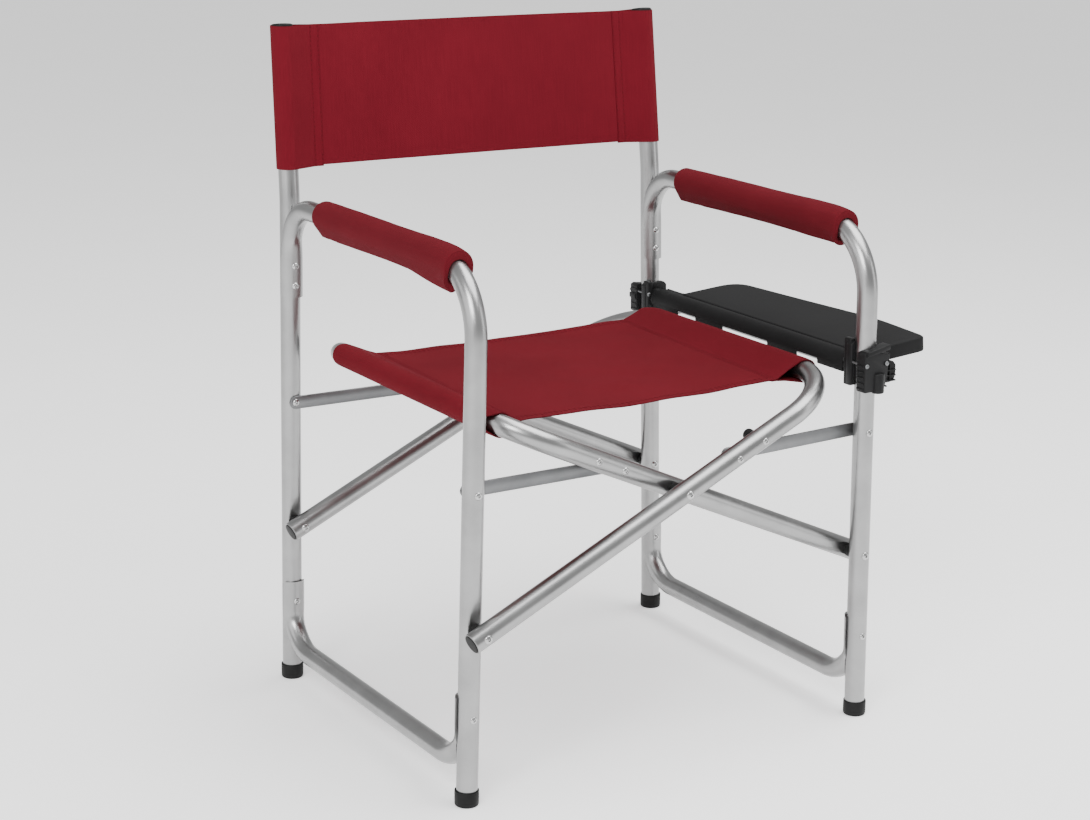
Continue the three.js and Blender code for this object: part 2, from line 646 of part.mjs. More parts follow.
// The tabletop: a shallow moulded tray whose inner edge curls over the tube.
const lipFront = clampFrontY + 27;
const lipRear = clampRearY - 27;
const topOutline = [
  [0, -203], [41, -203], [41, -216], [97, -216], [106, -213.5], [112, -208.5], [115.5, -199], [115.5, -110],
  [111.5, -40], [106, 30], [99, 100], [93, 136], [87, 152], [76, 163], [58, 168], [0, 168],
];
const inner = ([x, y]) => [16 + (x - 16) * 0.955, y < 0 ? y * 0.98 : y * 0.975];
const lip = [];
for (let i = 0; i <= 6; i++) {
  const angle = THREE.MathUtils.degToRad(90 + 15 * i);
  lip.push([LIP_R * Math.cos(angle), LIP_R * Math.sin(angle)]);
}
const lipOuter = [[LIP_R, LIP_R], ...lip, [-LIP_R, -9], [LIP_R, -9]];
const channel = [[10.3, -10]];
for (let i = 0; i <= 8; i++) {
  const angle = THREE.MathUtils.degToRad((180 * i) / 8);
  channel.push([10.3 * Math.cos(angle), 10.3 * Math.sin(angle)]);
}
channel.push([-10.3, -10]);
const cutOuts = [[-153, -109], [-50, 50], [109, 153]].map(([y0, y1]) => solid(box(-20, -8, y0, y1, -10, -2)));
const tray = cut(
  join(solid(plate(topOutline, LIP_R - TABLE_T, LIP_R)), solid(slab(lipOuter, lipFront, lipRear))),
  solid(plate([
    [16, -199], [45, -199], [45, -211.7], ...topOutline.slice(3, 15).map(inner), [16, 163.8],
  ], LIP_R - TABLE_T - 5, LIP_R - 3.5)),
  solid(slab(channel, -300, 300)),
  ...cutOuts,
);
place(tableSide, 'tabletop', geometryOf(tray).rotateY(-TABLE_TILT).translate(0, 0, TABLE_AXIS_Z), BLACK());

export default chair;
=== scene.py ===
"""Looks of a folding director chair with a side table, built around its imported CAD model.

Sizes are in millimetres, in the chair's own axes: X across (towards the side table), Y to the rear,
Z up, with X = 0 midway between the two side frames. Shape.object() turns them into metres.
"""
import json
import math
from math import cos, degrees, hypot, pi, radians, sin, sqrt

import bmesh
import bpy
from mathutils import Matrix, Vector, noise


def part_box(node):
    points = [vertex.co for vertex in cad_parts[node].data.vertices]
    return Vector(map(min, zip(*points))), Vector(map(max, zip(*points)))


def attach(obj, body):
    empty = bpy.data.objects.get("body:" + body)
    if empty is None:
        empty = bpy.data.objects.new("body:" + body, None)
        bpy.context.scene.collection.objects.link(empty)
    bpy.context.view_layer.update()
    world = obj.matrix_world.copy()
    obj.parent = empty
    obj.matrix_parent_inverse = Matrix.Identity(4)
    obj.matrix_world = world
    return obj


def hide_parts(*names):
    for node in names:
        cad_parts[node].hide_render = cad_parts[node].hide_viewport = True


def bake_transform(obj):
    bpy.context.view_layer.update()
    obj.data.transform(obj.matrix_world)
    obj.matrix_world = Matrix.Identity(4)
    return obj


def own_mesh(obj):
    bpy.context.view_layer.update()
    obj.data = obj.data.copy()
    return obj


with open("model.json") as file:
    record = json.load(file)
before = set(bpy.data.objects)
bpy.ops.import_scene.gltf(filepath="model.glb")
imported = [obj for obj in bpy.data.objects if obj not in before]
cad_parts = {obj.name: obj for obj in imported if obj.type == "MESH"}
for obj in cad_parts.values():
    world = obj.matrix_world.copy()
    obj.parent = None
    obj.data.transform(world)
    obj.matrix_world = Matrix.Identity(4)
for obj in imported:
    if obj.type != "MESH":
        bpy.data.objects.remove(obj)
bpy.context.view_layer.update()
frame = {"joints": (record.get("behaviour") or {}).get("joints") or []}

# ---------------------------------------------------------------- sizes from the frame
MM = 0.001
JOINTS = {j["name"]: j for j in frame["joints"]}


def joint_mm(name):
    return Vector(JOINTS[name]["pos_m"]) / MM


LEFT_PIVOT, RIGHT_PIVOT = joint_mm("fold"), joint_mm("right_pivot")
CENTRE = Vector(((LEFT_PIVOT.x + RIGHT_PIVOT.x) / 2, LEFT_PIVOT.y, 0))
PIVOT_X = (RIGHT_PIVOT.x - LEFT_PIVOT.x) / 2
CROSSING_Z = joint_mm("crossing").z
LINK_PIVOT = joint_mm("link_pivot_right_front") - CENTRE
TABLE_AXIS = joint_mm("table_hinge") - CENTRE
LEAN = math.atan((PIVOT_X - LINK_PIVOT.x) / (LINK_PIVOT.z - LEFT_PIVOT.z))
SEAT_ANGLE = math.atan((CROSSING_Z - LEFT_PIVOT.z) / PIVOT_X)
ARM_LENGTH = PIVOT_X / cos(SEAT_ANGLE)
PIVOT_Z = LEFT_PIVOT.z / cos(LEAN)  # measured along a side frame
HALF_WIDTH = PIVOT_X + sin(LEAN) * PIVOT_Z

# ---------------------------------------------------------------- driving dimensions
TUBE_R = 12.5
FRONT_Y = -229.9
REAR_Y = 229.9
REAR_RAKE = 0.0155
POST_BEND_Z = 620
POST_UPPER_RAKE = 0.1095
POST_TOP_Z = 830
ARM_Z = 614
ARM_FRONT_BEND = 79
ARM_REAR_BEND = 55
ARM_TIP = 499  # height of the armrest's pressed end on the rear post
ARM_RIVETS = [514.2, 538.8]
STRETCHER_Z = 44.5
STRETCHER_BEND = 54
STRETCHER_TIP = 131
STRETCHER_RIVET = 105.3
SADDLE_R = 15.6
SADDLE_OFFSET = 3.2  # a saddle's tube stands this far off the post's centre line
RAIL_FROM_CROSSING = 249.5
RAIL_BEND = 82
ARM_OVERHANG = 16
LAYER = 29  # a seat frame's distance from the legs' plane at its pivots
CROSSING_LAYER = 15.6  # and at the crossing
CLOTH_T = 1.3
SLEEVE_IN_R = TUBE_R + 0.35
ACROSS = Vector((1, 0, 0))
ALONG_Y = Vector((0, 1, 0))


def post_y(z):
    return REAR_Y + REAR_RAKE * min(z, POST_BEND_Z) + POST_UPPER_RAKE * max(0, z - POST_BEND_Z)


def leg_y(end, z):
    """The front leg's or rear post's centre line."""
    return FRONT_Y if end == "front" else post_y(z)


def front_y(z):
    return leg_y("front", z)


def frame_x(z):
    return HALF_WIDTH - sin(LEAN) * z


def on_arm(side, reach):
    """Point (x, z) on a seat frame's arm, past the crossing. side is the side that its rail is on."""
    return side * reach * cos(SEAT_ANGLE), CROSSING_Z + reach * sin(SEAT_ANGLE)


def arm_offset(side, reach):
    """How far a seat frame's arm lies behind the middle of the legs, at a reach past the crossing."""
    return side * ((LAYER - CROSSING_LAYER) * reach / ARM_LENGTH - CROSSING_LAYER)


def arm_point(side, legs_y, reach):
    x, z = on_arm(side, reach)
    return Vector((x, legs_y + arm_offset(side, reach), z))


REAR_PIVOT_Y = post_y(PIVOT_Z)
SIDES = {"left": -1, "right": 1}
SIDE_MATRIX = {
    name: Matrix.Translation((s * HALF_WIDTH, 0, 0)) @ Matrix.Rotation(-s * LEAN, 4, "Y")
    for name, s in SIDES.items()
}


def smoothstep(x, low, high):
    t = min(1, max(0, (x - low) / (high - low)))
    return t * t * (3 - 2 * t)


class Graph:
    """A Principled material and the nodes that feed it."""

    def __init__(self, name, slot, **principled):
        self.material = bpy.data.materials.new(name)
        self.material.use_nodes = True
        self.tree = self.material.node_tree
        self.shader = self.tree.nodes["Principled BSDF"]
        for socket, value in principled.items():
            self.shader.inputs[socket.replace("_", " ")].default_value = value

    def feed(self, socket, output):
        self.tree.links.new(output, self.shader.inputs[socket])

    def node(self, kind, inputs, output=0, **settings):
        """Adds a node. inputs maps its sockets to numbers or to other nodes' outputs."""
        node = self.tree.nodes.new("ShaderNode" + kind)
        for setting, value in settings.items():
            setattr(node, setting, value)
        for socket, value in inputs.items():
            if isinstance(value, bpy.types.NodeSocket):
                self.tree.links.new(value, node.inputs[socket])
            else:
                node.inputs[socket].default_value = value
        return node.outputs[output]

    def math(self, operation, *values):
        return self.node("Math", dict(enumerate(values)), operation=operation)

    def coords(self, kind):
        return self.node("TexCoord", {}, kind)

    def noise(self, vector, scale, detail=3, stretch=(1, 1, 1)):
        place = self.node("Mapping", {"Vector": vector, "Scale": stretch})
        return self.node("TexNoise", {"Vector": place, "Scale": scale, "Detail": detail}, "Fac")

    def colour(self, factor, *stops):
        """Base colour from two (place, colour) stops."""
        ramp = self.node("ValToRGB", {"Fac": factor}, "Color")
        for element, (place, colour) in zip(ramp.node.color_ramp.elements, stops):
            element.position = place
            element.color = (*colour, 1)
        self.feed("Base Color", ramp)

    def bump(self, height, distance, strength):
        sizes = {"Height": height, "Distance": distance * MM, "Strength": strength}
        self.feed("Normal", self.node("Bump", sizes, "Normal"))


def aluminium(name, slot, colour, dark, roughness, spread):
    """Drawn and satin-anodised metal: fine lines along it and faint clouds."""
    graph = Graph(name, slot, Metallic=1.0)
    lines = graph.noise(graph.coords("UV"), 1.0, 4, (0.006, 2.2, 1))
    clouds = graph.noise(graph.coords("Object"), 26, 4)
    graph.colour(clouds, (0.3, dark), (0.7, colour))
    drawn = graph.math("MULTIPLY_ADD", lines, spread, roughness - spread / 2)
    graph.feed("Roughness", graph.math("MULTIPLY_ADD", clouds, 0.06, drawn))
    graph.bump(lines, 0.02, 0.25)
    return graph.material


def woven(name, slot, thread, gap, pitch):
    """Plain weave over UVs in millimetres: threads pass over and under in a chequer, with painted shade
    where they dip.
    """
    graph = Graph(name, slot, Roughness=0.95, Sheen_Weight=0.05, Sheen_Roughness=0.5,
                  Sheen_Tint=(0.6, 0.1, 0.12, 1), Specular_IOR_Level=0.06)
    uv = graph.coords("UV")
    ribs, cells = [], []
    for axis in "XY":
        turns = graph.math("DIVIDE", graph.node("SeparateXYZ", {0: uv}, axis), pitch)
        wave = graph.math("SINE", graph.math("MULTIPLY", turns, pi))
        ribs.append(graph.math("ABSOLUTE", wave))
        cells.append(graph.math("FLOOR", turns))
    parity = graph.math("PINGPONG", graph.math("ADD", *cells), 1.0)
    under = graph.math("MULTIPLY", ribs[1], graph.math("SUBTRACT", 1.0, parity))
    weave = graph.math("MULTIPLY_ADD", ribs[0], parity, under)
    slub = graph.noise(uv, 1.0, 4, (0.02, 0.9, 1))
    cloud = graph.noise(graph.coords("Object"), 9)
    # Painted shade: the colour darkens towards `gap` where the threads dip between crossings. The cloud and
    # the slub are the cloth's own uneven tone.
    tone = graph.math("MULTIPLY_ADD", weave, 0.45, graph.math("MULTIPLY", cloud, 0.3))
    graph.colour(graph.math("MULTIPLY_ADD", slub, 0.3, tone), (0.2, gap), (0.85, thread))
    graph.bump(graph.math("MULTIPLY_ADD", slub, 0.7, weave), 0.28, 0.55)
    return graph.material


def grained(name, slot, colour, worn, roughness, grain, depth):
    """Moulded plastic or rubber with an even grain, slightly lighter where it is rubbed."""
    graph = Graph(name, slot, Specular_IOR_Level=0.13)
    place = graph.coords("Object")
    broad = graph.noise(place, 14)
    graph.colour(broad, (0.35, colour), (0.8, worn))
    graph.feed("Roughness", graph.math("MULTIPLY_ADD", broad, 0.12, roughness - 0.06))
    graph.bump(graph.noise(place, grain, 2), depth, 0.6)
    return graph.material


def grey(*levels):
    return [(level, level, level) for level in levels]


TUBE_MAT = aluminium("satin_aluminium", "aluminium_tube", *grey(0.345, 0.285), 0.27, 0.1)
STEEL_MAT = aluminium("zinc_steel", "steel", (0.2, 0.203, 0.207), (0.15, 0.153, 0.157), 0.42, 0.1)
RIVET_MAT = aluminium("bright_rivet", "rivet_metal", *grey(0.5, 0.4), 0.2, 0.05)
# Seat and back are one red cloth in two copies, set apart by how light falls on them: the level seat's
# colour is darker, as painted shade, and the upright back's is lighter, as painted light.
SEAT_SHADED_MAT = woven("seat_weave_painted_shade", "cloth", (0.122, 0.0072, 0.0132), (0.05, 0.0026, 0.005), 1.1)
BACK_LIT_MAT = woven("back_weave_painted_light", "cloth", (0.136, 0.0082, 0.0155), (0.055, 0.0028, 0.0055), 1.3)
PAD_MAT = woven("armrest_weave", "padded_cloth", (0.11, 0.008, 0.0135), (0.05, 0.003, 0.0055), 0.9)
THREAD_MAT = woven("seam_thread", "cloth", (0.1, 0.006, 0.011), (0.05, 0.003, 0.006), 0.6)
TABLE_MAT = grained("table_plastic", "table_plastic", (0.006, 0.006, 0.0062), (0.009, 0.009, 0.0093),
                    0.66, 1500, 0.06)
CLAMP_MAT = grained("clamp_plastic", "black_plastic", (0.007, 0.007, 0.0073), (0.012, 0.012, 0.0125),
                    0.42, 900, 0.04)
CAP_MAT = grained("cap_plastic", "black_plastic", *grey(0.0075, 0.013), 0.5, 700, 0.05)


# ---------------------------------------------------------------- meshes
class Shape:
    """Points in millimetres, faces, and a UV in millimetres for each corner of a face."""

    def __init__(self):
        self.points, self.faces, self.uvs = [], [], []

    def face(self, corners, uvs):
        self.faces.append(corners)
        self.uvs.append(uvs)

    def loft(self, rings, closed=True, cap_start=True, cap_end=True):
        """Skins rings of equally many points. UVs run along the rings' path and around them."""
        base = len(self.points)
        count = len(rings[0])
        around = [0.0]
        widest = max(rings, key=lambda r: sum((a - b).length for a, b in zip(r, r[1:])))
        for i in range(count):
            around.append(around[-1] + (widest[(i + 1) % count] - widest[i]).length)
        along = [0.0]
        for a, b in zip(rings, rings[1:]):
            along.append(along[-1] + sum((p - q).length for p, q in zip(a, b)) / count)
        for ring in rings:
            self.points.extend(Vector(p) for p in ring)
        for k in range(len(rings) - 1):
            here, following = base + k * count, base + (k + 1) * count
            for i in range(count if closed else count - 1):
                j = (i + 1) % count
                self.face([here + i, here + j, following + j, following + i],
                          [(along[k], around[i]), (along[k], around[i + 1]),
                           (along[k + 1], around[i + 1]), (along[k + 1], around[i])])
        last = base + (len(rings) - 1) * count
        if cap_start and closed:
            self.cap([base + i for i in reversed(range(count))])
        if cap_end and closed:
            self.cap([last + i for i in range(count)])
        return self

    def cap(self, corners):
        self.face(corners, [(self.points[c].x, self.points[c].z) for c in corners])

    def moved(self, change):
        self.points = [change(p) for p in self.points]
        return self

    def object(self, name, material, place=None, sharp=38):
        """The shape as a Blender object, with edges sharper than `sharp` degrees kept sharp."""
        place = place or Matrix.Identity(4)
        mesh = bpy.data.meshes.new(name)
        mesh.from_pydata([(CENTRE + place @ p) * MM for p in self.points], [], self.faces)
        layer = mesh.uv_layers.new(name="UVMap")
        layer.data.foreach_set("uv", [value for face in self.uvs for uv in face for value in uv])
        mesh.materials.append(material)
        mesh.validate()
        obj = bpy.data.objects.new(name, mesh)
        bpy.context.scene.collection.objects.link(obj)
        clean(obj)
        smooth(obj, sharp)
        return obj

    def piece(self, name, material, body, *nodes, place=None, sharp=38):
        """The shape as a finished piece of the chair."""
        finish_piece(self.object(name, material, place, sharp), body, *nodes)


def clean(obj):
    """Joins doubled points and turns faces outward."""
    work = bmesh.new()
    work.from_mesh(obj.data)
    bmesh.ops.remove_doubles(work, verts=work.verts, dist=0.01 * MM)
    bmesh.ops.recalc_face_normals(work, faces=work.faces)
    work.to_mesh(obj.data)
    work.free()


def smooth(obj, sharp):
    """Shades smooth, except over edges sharper than `sharp` degrees."""
    for polygon in obj.data.polygons:
        polygon.use_smooth = True
    if sharp:
        obj.data.set_sharp_from_angle(angle=radians(sharp))


def settle(obj):
    """Applies the object's modifiers."""
    depsgraph = bpy.context.evaluated_depsgraph_get()
    mesh = bpy.data.meshes.new_from_object(obj.evaluated_get(depsgraph))
    obj.modifiers.clear()
    obj.data = mesh


def bevel(obj, width, segments=2, angle=35):
    modifier = obj.modifiers.new("bevel", "BEVEL")
    modifier.width = width * MM
    modifier.segments = segments
    modifier.limit_method = "ANGLE"
    modifier.angle_limit = radians(angle)
    settle(obj)
    smooth(obj, 50)
    return obj


def combine(obj, others, operation="UNION"):
    """Joins other closed shapes to obj, or cuts them out, and removes them."""
    for other in others:
        modifier = obj.modifiers.new("combine", "BOOLEAN")
        modifier.operation = operation
        modifier.object = other
        modifier.solver = "EXACT"
        settle(obj)
        bpy.data.objects.remove(other)


def finish_joined(obj, name, body, *nodes):
    """Names a piece that was joined from several shapes, cleans it up and finishes it."""
    work = bmesh.new()
    work.from_mesh(obj.data)
    bmesh.ops.remove_doubles(work, verts=work.verts, dist=0.02 * MM)
    bmesh.ops.dissolve_degenerate(work, edges=work.edges, dist=0.02 * MM)
    work.to_mesh(obj.data)
    work.free()
    smooth(obj, 40)
    obj.name = name
    finish_piece(obj, body, *nodes)


def finish_piece(obj, body, *nodes):
    """Lets a piece ride on a body, in place of CAD nodes."""
    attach(obj, body)
    if nodes:
        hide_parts(*nodes)


# ---------------------------------------------------------------- building blocks
def bent_path(corners, radii, bend_step=5, run_step=14, fine_ends=0):
    """Stations (point, direction) along straight runs with rounded corners.

    Both ends get finer stations over a length of fine_ends, so that a saddle's shape shows."""
    points = [Vector(c) for c in corners]
    directions = [(b - a).normalized() for a, b in zip(points, points[1:])]
    nodes = [(points[0], directions[0])]
    for i, radius in enumerate(radii, start=1):
        before, after = directions[i - 1], directions[i]
        turn = before.angle(after)
        start = points[i] - before * radius * math.tan(turn / 2)
        axis = before.cross(after).normalized()
        centre = start + axis.cross(before) * radius
        steps = max(2, round(degrees(turn) / bend_step))
        for k in range(steps + 1):
            spin = Matrix.Rotation(turn * k / steps, 3, axis)
            nodes.append((centre + spin @ (start - centre), spin @ before))
    nodes.append((points[-1], directions[-1]))
    stations = [nodes[0]]
    for (a, _), (b, direction) in zip(nodes, nodes[1:]):
        length = (b - a).length
        straight = length > run_step * 0.9
        pieces = max(1, math.ceil(length / run_step)) if straight else 1
        for k in range(1, pieces + 1):
            stations.append((a.lerp(b, k / pieces), direction))
    return refine_ends(stations, 3, fine_ends) if fine_ends else stations


def refine_ends(stations, step, length):
    """Adds stations, no more than `step` apart, within `length` of both ends."""
    total = [0.0]
    for (a, _), (b, _) in zip(stations, stations[1:]):
        total.append(total[-1] + (b - a).length)
    fine = [stations[0]]
    for k, ((a, da), (b, db)) in enumerate(zip(stations, stations[1:])):
        near_end = total[k] < length or total[-1] - total[k + 1] < length
        pieces = max(1, math.ceil((b - a).length / step)) if near_end else 1
        for m in range(1, pieces + 1):
            t = m / pieces
            fine.append((a.lerp(b, t), da.lerp(db, t).normalized()))
    return fine


def circle(point, direction, across, radius, sides=40):
    """A ring round a station. It starts in the path's plane, whose normal is `across`."""
    inward = direction.cross(across).normalized()
    return [point + (across * sin(2 * pi * i / sides) + inward * cos(2 * pi * i / sides)) * radius
            for i in range(sides)]


def disc(radius, count, x=0, z=0):
    """An outline (x, z) round a centre."""
    turns = [2 * pi * k / count for k in range(count)]
    return [(x + radius * cos(t), z + radius * sin(t)) for t in turns]


def quarter(count, start=0):
    """The (sine, cosine) of count steps over a quarter turn, from step `start`."""
    turns = [pi / 2 * k / count for k in range(start, count + 1)]
    return [(sin(t), cos(t)) for t in turns]


def lathe(profile, origin, axis=ALONG_Y, sides=36, hollow=False):
    """A turned shape from (radius, distance along axis) pairs.

    The profile of a hollow shape comes back to its first pair."""
    across = axis.orthogonal().normalized()
    rings = [circle(Vector(origin) + axis * y, axis, across, max(r, 0.02), sides) for r, y in profile]
    return Shape().loft(rings, cap_start=not hollow, cap_end=not hollow)


def dome(r, y, height, outward, dimple=0.0):
    """Profile of a rivet head from its rim at distance y up to its crown."""
    points = [(r * c, y + outward * height * s) for s, c in quarter(7)[:-1]]
    if dimple:
        rim = dimple * 1.12
        points = [p for p in points if p[0] > rim]
        points += [(rim, y + outward * height), (dimple, y + outward * height * 0.9),
                   (dimple * 0.86, y + outward * height * 0.2), (0, y + outward * height * 0.1)]
    else:
        points.append((0, y + outward * height))
    return points


def rivet(a, b, z, head=5.2, height=2.4):
    """A rivet along Y with its heads bearing at a and b."""
    y0, y1 = sorted((a, b))
    low = dome(head, y0, height, -1, 1.5)[::-1]
    high = dome(head, y1, height, 1, 1.5)
    return lathe(low + [(2.9, y0), (2.9, y1)] + high, (0, 0, z), sides=28)


def half_rivet(face, outward, x, z, depth=3):
    """One rivet head on a face at y = face."""
    shank = [(0, face - outward * depth), (2.8, face - outward * depth), (2.8, face)]
    return lathe(shank + dome(4.4, face, 1.9, outward, 1.5), (x, 0, z), sides=28)


def block(x0, x1, y0, y1, z0, z1):
    rings = [[Vector((x, y, z)) for x, y in ((x0, y0), (x1, y0), (x1, y1), (x0, y1))] for z in (z0, z1)]
    return Shape().loft(rings)


def prism(outline, y0, y1):
    """An outline of (x, z), extruded along Y."""
    return Shape().loft([[Vector((x, y, z)) for x, z in outline] for y in (y0, y1)])


def merged(*shapes):
    """Several shapes as one."""
    whole = Shape()
    for shape in shapes:
        base = len(whole.points)
        whole.points.extend(shape.points)
        for corners, uvs in zip(shape.faces, shape.uvs):
            whole.face([base + c for c in corners], uvs)
    return whole


# ---------------------------------------------------------------- tubes of the side frames
def saddle_ring(ring, post, away, weight, reach):
    """Presses a tube's ring against a post: its near side hugs the post, and it spreads into a saddle.

    ring starts at its point furthest from the post. post(z) is the post's centre line, away is the
    side of the post that the tube is on, weight is 0 for a round tube and 1 for a full saddle, and
    reach is the half angle of the post that the saddle covers."""
    count = len(ring)
    hug = TUBE_R + 0.25
    mirror = 1 if ring[count // 4].x > 0 else -1
    result = []
    for i, p in enumerate(ring):
        centre = post(p.z)
        x, y = p.x, p.y
        if abs(x) < hug:
            surface = centre + away * sqrt(hug * hug - x * x)
            y = surface if away * (y - surface) < 0 else y
        turn = i / count if i <= count / 2 else i / count - 1  # -0.5 to 0.5 round the ring
        if abs(turn) <= 0.25:
            angle, radius = turn / 0.25 * reach, SADDLE_R
        else:
            angle = (0.5 - abs(turn)) / 0.25 * reach * (1 if turn > 0 else -1)
            radius = hug
        target = Vector((mirror * radius * sin(angle), centre + away * radius * cos(angle), p.z))
        result.append(Vector((x, y, p.z)).lerp(target, weight))
    return result


def furthest(ring, away):
    """Index of the point of a ring that is furthest along Y, towards `away`."""
    return max(range(len(ring)), key=lambda i: away * ring[i].y)


def close_saddle(shape, base, first, count, flip):
    """Closes a saddle's pressed end with a strip between its outer and inner arcs."""
    half = count // 2
    for i in range(-half // 2, half // 2):
        corners = dict.fromkeys((i % count, (i + 1) % count, (half - i - 1) % count, (half - i) % count))
        corners = [base + (c + first) % count for c in corners]
        if flip:
            corners.reverse()
        shape.face(corners, [(0, 0)] * len(corners))


def saddle_tube(stations, ends):
    """A side-frame tube.

    ends maps 0 or -1 to (post, away, full_z, free_z, tip_z) for a saddle at that end: away is the
    side of the post that the tube is on, and the saddle is full from tip_z to full_z and fades to
    a round tube at free_z."""
    rings = []
    for point, direction in stations:
        ring = circle(point, direction, ACROSS, TUBE_R)
        for post, away, full_z, free_z, tip_z in ends.values():
            low, high = min(full_z, free_z, tip_z) - 60, max(full_z, free_z, tip_z) + 1
            if abs(point.y - post(point.z)) < 40 and low < point.z < high:
                first = furthest(ring, away)
                turned = ring[first:] + ring[:first]
                from_tip = abs(point.z - tip_z)
                weight = 1 - smoothstep(from_tip, abs(full_z - tip_z), abs(free_z - tip_z))
                tip = min(1, from_tip / 5)
                reach = radians(78) * (0.8 + 0.2 * sqrt(1 - (1 - tip) ** 2))
                turned = saddle_ring(turned, post, away, weight, reach)
                ring = turned[len(ring) - first:] + turned[:len(ring) - first]
        rings.append(ring)
    shape = Shape().loft(rings, cap_start=0 not in ends, cap_end=-1 not in ends)
    count = len(rings[0])
    for end, (_, away, *_) in ends.items():
        base = 0 if end == 0 else (len(rings) - 1) * count
        close_saddle(shape, base, furthest(rings[end], away), count, end == 0)
    return shape


def dimpled(shape, line, face):
    """Presses a shallow dimple into a leg's face where a seat frame crosses it."""
    def press(p):
        along = p.z - PIVOT_Z
        fade = max(0, 1 - abs(along) / (46 if along > 0 else 34))
        side = abs(p.x) / TUBE_R
        out = face * (p.y - line(p.z))
        if fade <= 0 or out <= 0 or side > 0.85:
            return p
        flat = TUBE_R - 2.6 * smoothstep(fade, 0, 0.75)
        blend = smoothstep(1 - side, 0.15, 0.45)
        return Vector((p.x, line(p.z) + face * (out + (min(out, flat) - out) * blend), p.z))
    return shape.moved(press)


def side_frame(name):
    body, place = f"side_{name}", SIDE_MATRIX[name]
    # seat frame B lies before the left legs, and seat frame A behind the right ones
    dimple_face = -1 if name == "left" else 1

    rear = post_y(530) - SADDLE_OFFSET
    path = bent_path([(0, FRONT_Y, 4), (0, FRONT_Y, ARM_Z), (0, rear, ARM_Z),
                      (0, post_y(ARM_TIP) - SADDLE_OFFSET, ARM_TIP)],
                     [ARM_FRONT_BEND, ARM_REAR_BEND], fine_ends=110)
    leg = dimpled(saddle_tube(path, {-1: (post_y, -1, 545, 590, ARM_TIP)}), front_y, dimple_face)
    leg.piece(f"{name}_front_leg_and_armrest", TUBE_MAT, body, f"{name}_leg_armrest_tube", place=place)

    top = POST_TOP_Z - 2  # the cap covers the tube's edge
    path = bent_path([(0, post_y(z), z) for z in (4, POST_BEND_Z, top)], [220], bend_step=1)
    post = Shape().loft([circle(p, d, ACROSS, TUBE_R) for p, d in path])
    dimpled(post, post_y, dimple_face).piece(f"{name}_rear_post_tube", TUBE_MAT, body, f"{name}_rear_post",
                                             place=place)

    tip, near = STRETCHER_TIP, FRONT_Y + SADDLE_OFFSET
    path = bent_path([(0, near, tip), (0, near, STRETCHER_Z), (0, post_y(60) - SADDLE_OFFSET, STRETCHER_Z),
                      (0, post_y(tip) - SADDLE_OFFSET, tip)], [STRETCHER_BEND] * 2, fine_ends=100)
    stretcher = saddle_tube(path, {0: (front_y, 1, 100, 58, tip), -1: (post_y, -1, 100, 58, tip)})
    stretcher.piece(f"{name}_stretcher_tube", TUBE_MAT, body, f"{name}_stretcher", place=place)

    # two rivets through each armrest saddle, one through each stretcher saddle
    spots = [(post_y, -1, z) for z in ARM_RIVETS]
    spots += [(front_y, 1, STRETCHER_RIVET), (post_y, -1, STRETCHER_RIVET)]
    heads = [half_rivet(line(z) + away * (SADDLE_R - 0.2), away, 0, z) for line, away, z in spots]
    tails = [half_rivet(line(z) - away * (TUBE_R - 0.3), -away, 0, z) for line, away, z in spots]
    merged(*heads, *tails).piece(f"{name}_saddle_rivets", RIVET_MAT, body, place=place)


# ---------------------------------------------------------------- caps
def foot_cap(name, end):
    y = FRONT_Y if end == "front" else REAR_Y
    profile = [(0, 0), (11.6, 0)] + [(11.6 + 2.4 * s, 2.4 * (1 - c)) for s, c in quarter(5, 1)]
    profile += [(14.15, 9), (14.1, 17.9), (13.7, 18.7), (13.1, 18.8), (12.75, 18.3), (12.7, 15),
                (12.7, 3.2), (0, 3.2)]
    shape = lathe(profile, (SIDES[name] * HALF_WIDTH, y, 0), Vector((0, 0, 1)), 48)
    shape.piece(f"{name}_{end}_rubber_foot", CAP_MAT, f"side_{name}", f"{name}_{end}_foot_cap")


def post_cap(name):
    profile = [(0, -7), (10.8, -7), (10.8, -1.8), (12.9, -1.8), (13.1, -1.2), (13.1, 0.6)]
    profile += [(13.1 - 4 * (1 - c), 0.6 + 1.8 * s) for s, c in quarter(6, 1)]
    profile += [(5, 2.7), (0, 2.8)]
    direction = Vector((0, POST_UPPER_RAKE, 1)).normalized()
    shape = lathe(profile, (0, post_y(POST_TOP_Z), POST_TOP_Z), direction, 48)
    shape.piece(f"{name}_post_end_cap", CAP_MAT, f"side_{name}", f"{name}_post_cap", place=SIDE_MATRIX[name])


# ---------------------------------------------------------------- seat frames and links
RAIL_SIDE = {"a": -1, "b": 1}  # the side of each seat frame's rail; its pivots are on the other side
LEGS_Y = {"front": FRONT_Y, "rear": REAR_PIVOT_Y}
INWARD = {"front": 1, "rear": -1}
LINK_Z = LINK_PIVOT.z / cos(LEAN)
DENT_DEPTH = 2.4
DENT_HALF_LENGTH = 32


def dented(shape, rail):
    """Flattens a seat frame's arms where they cross a leg and each other."""
    slope = Vector((rail * cos(SEAT_ANGLE), 0, sin(SEAT_ANGLE)))
    across = Vector((-rail * sin(SEAT_ANGLE), 0, cos(SEAT_ANGLE)))
    for legs_y, reach in ((y, r) for y in LEGS_Y.values() for r in (-ARM_LENGTH, 0)):
        centre = arm_point(rail, legs_y, reach)

        def press(p):
            along = (p - centre).dot(slope)
            high = abs((p - centre).dot(across)) / TUBE_R
            out = rail * (p.y - legs_y - arm_offset(rail, reach + along))
            if abs(along) > DENT_HALF_LENGTH or not 0 < out < TUBE_R * 1.2 or high > 0.95:
                return p
            flat = TUBE_R - DENT_DEPTH * smoothstep(1 - abs(along) / DENT_HALF_LENGTH, 0, 0.62)
            return p - Vector((0, rail * max(0, out - flat) * smoothstep(1 - high, 0.05, 0.3), 0))

        shape.moved(press)
    return shape


